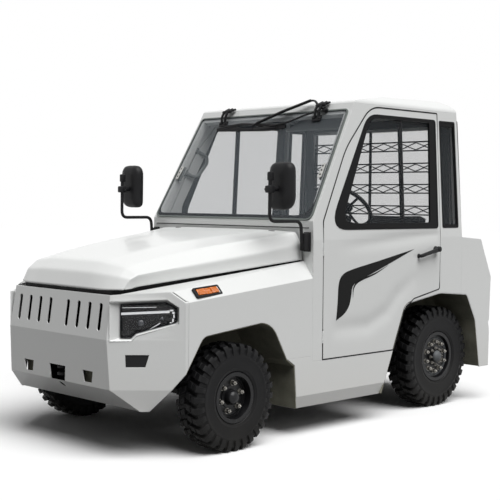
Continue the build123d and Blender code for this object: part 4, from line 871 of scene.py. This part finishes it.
def build_marker_lamps():
    rim = Shape()
    rim.skin(layers(MARKER_OUTLINE, MARKER_PLACE, (
        (-0.003, 0.0), (0.007, 0.0), (0.010, 0.003), (0.010, 0.010), (0.004, 0.012))), first=False)
    rim.mirror().piece("marker_lamp_frames", PLASTIC, smooth=40)
    lens = Shape()
    lens.grid([[MARKER_PLACE @ Vector((u, v * (0.96 if abs(u) > 0.07 else 1.0), w - drop))
                for u, drop in LENS_ALONG] for v, w in LENS_ACROSS])
    lens.mirror().piece("marker_lenses", AMBER, smooth=25, stands_for=("marker_lamps",))


CORNER_RECESS = ((0.095, 0.497, 0.004), (0.092, 0.562, 0.004), (0.218, 0.562, 0.004), (0.198, 0.497, 0.004))


def build_front_trim():
    """Black behind the grille and in the corner recesses, liner behind the chin's openings."""
    dark = Shape()
    dark.box((0.74, 0.006, 0.190), (0.0, -1.578, 0.750))
    dark.skin(layers(CORNER_RECESS, CORNER, ((-0.016, -0.006), (-0.010, -0.006))))
    dark.mirror().piece("grille_backing", PLASTIC)
    dull = Shape()
    for side, _ in SIDES:
        dull.box((0.135, 0.004, 0.100), (side * 0.282, -1.572, 0.428))
    dull.box((0.200, 0.004, 0.120), (0.0, -1.498, 0.440))
    dull.piece("chin_backing", LINER)


PANEL_HALF = 0.068          # joints between the front cover's panels


def build_front_skin():
    """The front cover in one skin, without the joints between its panels."""
    shape = Shape("front_cover", "tow_pin_panel")
    shape.weld(0.00002)
    joints = [face for face in shape.mesh.faces
              if all(abs(abs(vert.co.x) - PANEL_HALF) < 0.00005 for vert in face.verts)]
    bmesh.ops.delete(shape.mesh, geom=joints, context="FACES")
    shape.piece("front_skin", PAINT, smooth=0.5, stands_for=("front_cover", "tow_pin_panel"))


def build_tail_bezels():
    """Black frame and a divider round each tail lamp."""
    low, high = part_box("tail_lamps")
    shape = Shape()
    half_high = (high[2] - low[2]) / 2
    place = turned((high[0] - 0.045, high[1], low[2] + half_high), (0, 1, 0))
    outline = trapezoid(0.045, 0.045, -half_high, half_high, 0.010, 0.010)
    shape.frame((outline, -0.007), (outline, 0.003), lambda u, v, w: place @ Vector((u, v, w)), -0.006, 0.003)
    shape.box((0.090, 0.006, 0.004), place @ Matrix.Translation((0, 0.024, 0)), bevel=0.001)
    shape.mirror().piece("tail_lamp_bezels", PLASTIC, smooth=30)


# ------------------------ doors: seals, painted gap shade, sheets, stripe and handles
DOOR_EDGE = ((-0.230, 0.437, 0.0), (-0.230, 1.262, 0.060), (-0.008, 1.702, 0.500), (0.238, 1.971, 0.200),
             (0.931, 1.971, 0.012), (0.931, 0.803, 0.020), (0.650, 0.753, 0.080), (0.554, 0.687, 0.040),
             (0.448, 0.437, 0.0))


def build_door_seals_and_gap_shade():
    seal = Shape()
    seal.tube([on_side(y, z, -0.020) for y, z in rounded(DOOR_EDGE, 0.0)], 0.007, 8, closed=True)
    seal.mirror().piece("door_seals", SEAL_AND_GAP_SHADE, smooth=60)
    edge_shade = Shape()
    # black band on the door's face round its edge: painted shadow of the gap round the door
    edge_shade.frame((DOOR_EDGE, -0.002), (DOOR_EDGE, 0.005), on_side, 0.0003, 0.0012)
    edge_shade.pair("door_edge_painted_shade", SEAL_AND_GAP_SHADE, "door")


# pressed channels of a door's outer sheet: y, z and depth along the valley, then its half width
CHANNEL = (((-0.100, 1.099, 0.0), (0.120, 1.116, 0.0040), (0.400, 1.137, 0.0070), (0.700, 1.159, 0.0070),
            (0.960, 1.177, 0.0050)), 0.040)
SCOOP = (((-0.081, 0.612, 0.0045), (0.190, 0.611, 0.0070), (0.386, 0.688, 0.0070),
          (0.485, 0.786, 0.0065), (0.640, 0.876, 0.0030)), 0.050)
PRESS_STEP = 0.014
SHEET_FRONT, SHEET_FOOT = DOOR_EDGE[0][:2]
SHEET_REAR = DOOR_EDGE[4][0]
SHEET_TOP = 1.205
PRESS_FADE = 0.035


def pressed(y, z):
    """Depth of the pressings at a point of the door's side, fading out towards the door's edges."""
    depth = 0.0
    for line, width in (CHANNEL, SCOOP):
        best, deep = 9.0, 0.0
        for (ay, az, a), (by, bz, b) in zip(line, line[1:]):
            run = Vector((by - ay, bz - az))
            share = min(max(Vector((y - ay, z - az)).dot(run) / run.length_squared, 0.0), 1.0)
            reach = (Vector((y - ay, z - az)) - run * share).length
            if reach < best:
                best, deep = reach, a + (b - a) * share
        depth += deep * exp(-(best / width) ** 2)
    for room in (y - SHEET_FRONT, SHEET_REAR - y, SHEET_TOP - z, z - SHEET_FOOT):
        depth *= min(max(room / PRESS_FADE, 0.0), 1.0)
    return depth


def outer_sheet(mesh, side):
    """Faces of a door's outer sheet below the window."""
    return [face for face in mesh.faces if face.normal.x * side > 0.99
            and min(abs(vert.co.x) for vert in face.verts) > HALF_WIDTH - 0.0605]


def build_door_skins():
    """The doors with their outer sheets cut into a fine grid and pressed."""
    for side, word in SIDES:
        shape = Shape("door_" + word)
        mesh = shape.mesh
        bmesh.ops.dissolve_limit(mesh, angle_limit=radians(0.5), verts=mesh.verts[:], edges=mesh.edges[:])
        for low, high, normal in ((SHEET_FRONT, SHEET_REAR, (0, 1, 0)), (SHEET_FOOT, SHEET_TOP, (0, 0, 1))):
            for step in range(1, int((high - low) / PRESS_STEP) + 1):
                faces = outer_sheet(mesh, side)
                edges = {edge for face in faces for edge in face.edges}
                verts = {vert for face in faces for vert in face.verts}
                at = Vector(normal) * (low + step * PRESS_STEP)
                bmesh.ops.bisect_plane(mesh, geom=faces + list(edges) + list(verts), plane_co=at,
                                       plane_no=normal, dist=0.00001)
        for vert in {vert for face in outer_sheet(mesh, side) for vert in face.verts}:
            vert.co.x -= side * pressed(vert.co.y, vert.co.z)
        shape.piece("door_skin_" + word, PAINT, "door_" + word, smooth=20, stands_for=("door_" + word,))


STRIPE_OUTER = ((-0.110, 0.663), (-0.099, 0.780), (-0.091, 0.885), (-0.066, 0.930), (-0.006, 0.958),
                (0.252, 1.005), (0.649, 1.077))
STRIPE_INNER = ((-0.110, 0.663), (-0.031, 0.704), (0.008, 0.748), (0.027, 0.813), (0.036, 0.859),
                (0.077, 0.888), (0.253, 0.944), (0.649, 1.077))
LINE_LOW = ((0.042, 0.790), (0.053, 0.852), (0.097, 0.886), (0.253, 0.929), (0.380, 0.980))
LINE_HIGH = ((0.041, 0.790), (0.045, 0.860), (0.092, 0.897), (0.253, 0.938), (0.380, 0.981))


def curve_through(points, steps=8):
    """Smooth line through points, its tangents those of a Catmull-Rom spline."""
    points = [Vector(point) for point in points]
    line = []
    for i in range(len(points) - 1):
        before = points[max(i - 1, 0)]
        after = points[min(i + 2, len(points) - 1)]
        a, b = points[i], points[i + 1]
        reach = (b - a).length
        start = (b - before).normalized() * reach
        end = (after - a).normalized() * reach
        for step in range(steps):
            t = step / steps
            line.append(a * (2 * t ** 3 - 3 * t ** 2 + 1) + start * (t ** 3 - 2 * t ** 2 + t)
                        + b * (3 * t ** 2 - 2 * t ** 3) + end * (t ** 3 - t ** 2))
    return line + [points[-1]]


def evenly(line, count):
    """Points at equal steps of length along a line."""
    reach = [0.0]
    for a, b in zip(line, line[1:]):
        reach.append(reach[-1] + (b - a).length)
    points = []
    at = 0
    for step in range(count + 1):
        want = reach[-1] * step / count
        while at < len(line) - 2 and reach[at + 1] < want:
            at += 1
        share = (want - reach[at]) / (reach[at + 1] - reach[at])
        points.append(line[at].lerp(line[at + 1], min(share, 1.0)))
    return points


def build_stripe():
    shape = Shape()
    for high, low in ((STRIPE_OUTER, STRIPE_INNER), (LINE_HIGH, LINE_LOW)):
        pairs = zip(evenly(curve_through(high), 48), evenly(curve_through(low), 48))
        rows = [[a.lerp(b, share / 5) for share in range(6)] for a, b in pairs]
        shape.grid([[on_side(at.x, at.y, 0.0012 - pressed(at.x, at.y)) for at in row] for row in rows])
    shape.pair("stripe", DECAL, "door")


HANDLE_FRONT = Vector((0.686, 1.031))
HANDLE_REAR = Vector((0.868, 1.069))
HANDLE_ROWS = (
    # share of the way from front to rear, half height, half depth, distance from the door
    (-0.03, 0.003, 0.003, 0.026), (0.0, 0.012, 0.009, 0.027), (0.25, 0.0125, 0.010, 0.030),
    (0.7, 0.013, 0.011, 0.031), (0.95, 0.017, 0.012, 0.030), (1.10, 0.017, 0.011, 0.029),
    (1.15, 0.006, 0.004, 0.028),
)


def build_door_handles():
    shape = Shape()
    run = HANDLE_REAR - HANDLE_FRONT
    across = Vector((-run.y, run.x)).normalized()
    rings = []
    for share, half_high, half_deep, out in HANDLE_ROWS:
        at = HANDLE_FRONT.lerp(HANDLE_REAR, share)
        ring = [(HALF_WIDTH + out + half_deep * x, at + across * half_high * y) for x, y in circle(1.0, 18)]
        rings.append([Vector((x, point.x, point.y)) for x, point in ring])
    shape.skin(rings)
    for (y, z), radius in ((HANDLE_FRONT, 0.014), (HANDLE_REAR, 0.022)):
        shape.lathe([(0.0, radius), (0.006, radius), (0.010, radius * 0.8), (0.026, radius * 0.7)],
                    outwards((HALF_WIDTH, y + 0.008, z)), 24)
    shape.lathe([(0.026, 0.019), (0.043, 0.018), (0.046, 0.014)], outwards((HALF_WIDTH, 0.872, 1.072)), 28)
    shape.pair("handle", PLASTIC, "door", smooth=50, stands_for="door_handle")


ARCH_LIP = ((0.452, 0.440, 0.0), (0.565, 0.725, 0.080), (0.940, 0.778, 0.300), (1.248, 0.752, 0.040),
            (1.350, 0.575, 0.060), (1.410, 0.245, 0.0))


def build_arch_lips_and_shut_line_shade():
    """White flange that turns in round the rear wheel arch, and a black strip over the step that paints the
    shadow of the shut line.
    """
    shape = Shape()
    edge = [Vector(point) for point in rounded(ARCH_LIP)][8:-8]
    rows = []
    for x, inset in ((0.7362, 0.0), (0.7362, 0.004), (0.690, 0.004), (0.690, 0.001)):
        row = []
        for i, point in enumerate(edge):
            along = (edge[min(i + 1, len(edge) - 1)] - edge[max(i - 1, 0)]).normalized()
            row.append(Vector((x, point.x + along.y * inset, point.y - along.x * inset)))
        rows.append(row)
    shape.grid(rows)
    shape.mirror().piece("rear_arch_lips", PAINT, smooth=30)
    dark = Shape()
    # black strip over the step: painted shadow of the shut line under the door's foot
    dark.box((0.006, 0.668, 0.007), (0.7345, 0.110, 0.4375))
    dark.mirror().piece("shut_line_painted_shadows", SEAL_AND_GAP_SHADE)


# ------------------------ inside the cab
PAD_PINCH = 0.02            # how far a pad's sides pull in between its corners
SEAM_DEPTH, SEAM_HALF = 0.010, 0.012
PIPING_DEPTH, PIPING_AT, PIPING_HALF = 0.008, 0.66, 0.045


def cushion_pad(name, place, size, crown, seams):
    """Upholstered pad: crowned faces, sides that pull in between the corners, sewn channels."""
    width, length, thick = size
    shape = Shape()
    rows, columns = 22, 26
    rings = []
    for j in range(columns + 1):
        v = (j / columns - 0.5) * 2
        ring = []
        for k in range(rows * 2):
            upper = k < rows
            u = (k / (rows - 1) - 0.5) * 2 if upper else (0.5 - (k - rows) / (rows - 1)) * 2
            bulge = (1 - abs(u) ** 3.2) * (1 - abs(v) ** 3.2)
            side = width / 2 * u * (1 - PAD_PINCH * (1 - v * v))
            run = length / 2 * v * (1 - PAD_PINCH * (1 - u * u))
            height = (0.5 * thick + crown * bulge) if upper else -0.5 * thick
            if upper:
                for at in seams:
                    near = max(0.0, 1 - abs(v * length / 2 - at) / SEAM_HALF)
                    height -= SEAM_DEPTH * near * (bulge > 0.02)
                height -= PIPING_DEPTH * max(0.0, 1 - abs(abs(u) - PIPING_AT) / PIPING_HALF) * (abs(v) < 0.9)
            ring.append(place @ Vector((side, run, height)))
        rings.append(ring)
    shape.skin(rings)
    shape.weld(0.0002)
    pad = shape.piece(name, VINYL, smooth=60, stands_for=("seat_cushions",))
    bevelled(pad, 0.012, 3, 50)


def build_seats():
    for side, word in SIDES:
        base = Matrix.Translation((side * 0.330, 0.705, 0.850))
        cushion_pad("seat_cushion_" + word, base, (0.47, 0.44, 0.085), 0.014, (-0.06, 0.05))
        back = turned((side * 0.330, 0.930, 1.095), (0, -0.390, 0.120))
        cushion_pad("seat_back_" + word, back, (0.45, 0.385, 0.075), 0.016, (-0.05, 0.06))


STEER_PLACE = turned((0.330, 0.450, 1.345), (0, 1, 1))


def build_steering_wheel():
    shape = Shape()
    shape.tube([STEER_PLACE @ Vector((x, y, 0)) for x, y in circle(0.175, 64)], 0.0135, 14, closed=True)
    for angle in (90, 210, 330):
        ray = Vector((cos(radians(angle)), sin(radians(angle)), 0))
        inner, outer = ray * 0.030 + Vector((0, 0, -0.014)), ray * 0.170
        middle = inner.lerp(outer, 0.5) + Vector((0, 0, -0.006))
        spoke = [STEER_PLACE @ point for point in (inner, middle, outer)]
        shape.tube(bent(spoke, 0.03), 0.012, 10, flat=0.5)
    shape.lathe([(-0.024, 0.030), (-0.010, 0.038), (0.006, 0.040), (0.014, 0.034), (0.017, 0.018)],
                STEER_PLACE, 36)
    shape.piece("steering_wheel_grip", PLASTIC, "steering_wheel", stands_for=("steering_wheel",))


DASH_FACE = turned((0.330, -0.005, 1.190), (0, 0.66, 0.75))
DIALS_X = (-0.105, 0.0, 0.105)


def build_dash():
    """Instrument pod, with the bent tube, the stalks and the small box beside it."""
    pod = Shape()
    pod.box((0.360, 0.150, 0.050), DASH_FACE, bevel=0.018, steps=3)
    pod.tube(bent([(0.10, -0.19, 1.240), (0.10, -0.10, 1.262), (0.10, -0.06, 1.245)], 0.03), 0.008, 10)
    for x in (0.30, 0.36):
        pod.rod((x - 0.14, 0.30, 1.185), (x - 0.28, 0.27, 1.235), 0.006, 10, 0.001)
    pod.box((0.050, 0.050, 0.018), (0.02, 0.30, 1.24), bevel=0.006)
    pod.piece("instrument_pod", PLASTIC)


def build_dials():
    """Three dials, each with a ring of nine marks and a needle."""
    dials, marks = Shape(), Shape()
    for x in DIALS_X:
        dials.lathe([(0.024, 0.044), (0.028, 0.044), (0.0285, 0.040)],
                    DASH_FACE @ Matrix.Translation((x, 0, 0)), 36)
        ticks = [((x + 0.032 * cos(angle), 0.032 * sin(angle), 0.0290), angle, (0.010, 0.002, 0.0006))
                 for angle in [radians(-30 + step * 30) for step in range(9)]]
        for at, turn, size in ticks + [((x - 0.008, 0.010, 0.0292), 2.3, (0.030, 0.0022, 0.0008))]:
            marks.box(size, DASH_FACE @ Matrix.Translation(at) @ Matrix.Rotation(turn, 4, "Z"))
    dials.piece("dials", SCREEN, slot="black_plastic")
    marks.piece("dial_marks", PALE)


def build_pedals():
    shape = Shape()
    for x, wide in ((0.215, 0.075), (0.300, 0.085), (0.430, 0.055)):
        shape.box((wide, 0.014, 0.085), turned((x, -0.060, 0.545), (0, 0.5, 0.86)), bevel=0.004)
        shape.rod((x, -0.068, 0.548), (x, -0.200, 0.720), 0.009, 10)
    for side, _ in SIDES:
        shape.box((0.60, 0.54, 0.006), (side * 0.34, 0.16, 0.444), bevel=0.002)
    shape.piece("pedals_and_mats", SEAL_AND_GAP_SHADE)


def build_brake_lever():
    shape = Shape()
    shape.tube(bent([(0.0, 0.62, 0.46), (0.0, 0.56, 0.62), (0.0, 0.44, 0.74), (0.0, 0.40, 0.80)], 0.05),
               0.012, 12)
    shape.rod((0.0, 0.405, 0.79), (0.0, 0.350, 0.885), 0.018, 14, 0.006)
    shape.box((0.10, 0.20, 0.12), (0.0, 0.62, 0.50), bevel=0.012)
    shape.piece("brake_lever", PLASTIC)


def build_grab_handles():
    grip = Shape()
    for side, _ in SIDES:
        route = [(side * 0.668, 0.008, 1.722), (side * 0.655, 0.088, 1.684), (side * 0.655, 0.090, 1.640),
                 (side * 0.655, 0.006, 1.545), (side * 0.655, -0.035, 1.540), (side * 0.668, -0.092, 1.566)]
        grip.tube(bent(route, 0.030), 0.0125, 12)
        for at in (route[0], route[-1]):
            grip.box((0.010, 0.034, 0.044), at, bevel=0.004)
    grip.piece("grab_handles", TRIM)


def build_visor():
    visor = Shape()
    visor.box((0.46, 0.012, 0.15), turned((0.33, 0.165, 1.870), (0, -0.86, -0.5)), bevel=0.005)
    visor.piece("sun_visor", TRIM, slot="seat_vinyl")


LINING_TOP = ((0.105, 1.930), (0.125, 1.962), (0.400, 2.000), (1.020, 2.012), (1.105, 1.990))
LINING_DROPS = ((-0.650, 0.050), (-0.640, 0.012), (-0.600, 0.002),
                (0.600, 0.002), (0.640, 0.012), (0.650, 0.050))
REAR_TRIMS = (
    # width, height, then the middle's place across and up the rear window
    (0.080, 0.780, 0.622, 0.420), (0.080, 0.780, -0.622, 0.420), (1.300, 0.075, 0.0, 0.030),
    (1.240, 0.060, 0.0, 0.800),
)


def build_lining():
    """Headliner under the roof, and trim round the rear and quarter windows inside the cab."""
    shape = Shape()
    shape.grid([[(x, y, z - drop) for y, z in LINING_TOP] for x, drop in LINING_DROPS])
    for side, _ in SIDES:
        for y, wide in ((0.942, 0.030), (1.128, 0.022)):
            shape.post(Vector((side * 0.690, y, 1.180)), Vector((side * 0.655, y, 1.950)), 0.006, wide)
        shape.box((0.006, 0.210, 0.030), (side * 0.688, 1.036, 1.196), bevel=0.002)
        shape.box((0.006, 0.210, 0.050), (side * 0.652, 1.036, 1.930), bevel=0.002)
    for wide, high, across, up in REAR_TRIMS:
        place = turned(on_rear(across, up, -0.044), (0, -0.033, 1.0))
        shape.box((wide, 0.006, high), place, bevel=0.002)
    shape.piece("cab_lining", LINING, smooth=40)


# ------------------------ camera, light and floor
CAMERA_AT = Vector((5.119, -5.123, 1.377))
CAMERA_YAW = radians(45.658)
CAMERA_PITCH = radians(2.531)
CAMERA_ROLL = radians(0.546)
CAMERA_LENS = 79.7          # on a 36 mm sensor
WORLD_LIGHT = 0.125         # strength of the world's light; seen as a backdrop it has strength 1
FLOOR_LIT = (0.10, 0.10, 0.10)
FLOOR_SEEN = (0.95, 0.95, 0.95)
SUN_FROM = Vector((0.53, -0.10, 1.0))
SUN_SPREAD = radians(50.0)
SUN_STRENGTH = 3.38


def build_camera():
    forward = Vector((-sin(CAMERA_YAW) * cos(CAMERA_PITCH), cos(CAMERA_YAW) * cos(CAMERA_PITCH),
                      -sin(CAMERA_PITCH)))
    right = Vector((cos(CAMERA_YAW), sin(CAMERA_YAW), 0.0))
    above = right.cross(forward)
    side = right * cos(CAMERA_ROLL) + above * sin(CAMERA_ROLL)
    up = above * cos(CAMERA_ROLL) - right * sin(CAMERA_ROLL)
    data = bpy.data.cameras.new("camera")
    data.sensor_width = 36.0
    data.lens = CAMERA_LENS
    camera = placed("camera", data)
    turn = Matrix((side, up, -forward)).transposed().to_4x4()
    camera.matrix_world = Matrix.Translation(CAMERA_AT) @ turn
    bpy.context.scene.camera = camera


def build_sun():
    data = bpy.data.lights.new("key", "SUN")
    data.angle = SUN_SPREAD
    data.energy = SUN_STRENGTH
    light = placed("key", data)
    light.rotation_mode = "QUATERNION"
    light.rotation_quaternion = (-SUN_FROM).to_track_quat("-Z", "Y")


def seen_factor(tree):
    """1 for the rays that show the backdrop, 0 for those that carry its light to the object."""
    rays = tree.nodes.new("ShaderNodeLightPath").outputs
    factor = rays["Is Camera Ray"]
    for name in ("Is Glossy Ray", "Is Transmission Ray"):
        factor = node(tree, "Math", 0, {0: factor, 1: rays[name]}, operation="MAXIMUM")
    return factor


def build_floor():
    floor = Shape()
    floor.grid([[(-40, -40, 0), (40, -40, 0)], [(-40, 40, 0), (40, 40, 0)]])
    made = placed("floor", floor.to_data("floor"))
    material, tree, bsdf = shader("floor_white")
    shade = mixed(tree, seen_factor(tree), opaque(FLOOR_LIT), opaque(FLOOR_SEEN))
    put(bsdf, {"Base Color": shade, "Roughness": 0.95, "Specular IOR Level": 0.0})
    made.data.materials.append(material)


def build_world():
    world = bpy.data.worlds.new("studio")
    bpy.context.scene.world = world
    world.use_nodes = True
    tree = world.node_tree
    strength = node(tree, "MapRange", "Result", {"Value": seen_factor(tree), "To Min": WORLD_LIGHT,
                                                 "To Max": 1.0})
    put(tree.nodes["Background"], {"Color": (1.0, 1.0, 1.0, 1.0), "Strength": strength})
    bpy.context.scene.view_settings.view_transform = "Standard"


for build in (
        dress_nodes, build_hood, build_door_windows, build_fixed_windows, build_windshield_seals,
        build_guard, build_windshield_hinges, build_windshield_latches, build_wiper,
        build_mirror_arms, build_mirror_heads, build_wheels, build_tail_bezels, build_marker_lamps,
        build_headlamp_recess, build_headlamp_housing, build_headlamp_reflectors, build_headlamp_glass,
        build_front_trim, build_front_skin, build_door_handles, build_arch_lips_and_shut_line_shade, build_door_seals_and_gap_shade,
        build_door_skins, build_stripe, build_seats, build_steering_wheel, build_dash, build_dials,
        build_pedals, build_brake_lever, build_grab_handles, build_visor, build_lining,
        build_camera, build_floor, build_world, build_sun):
    build()
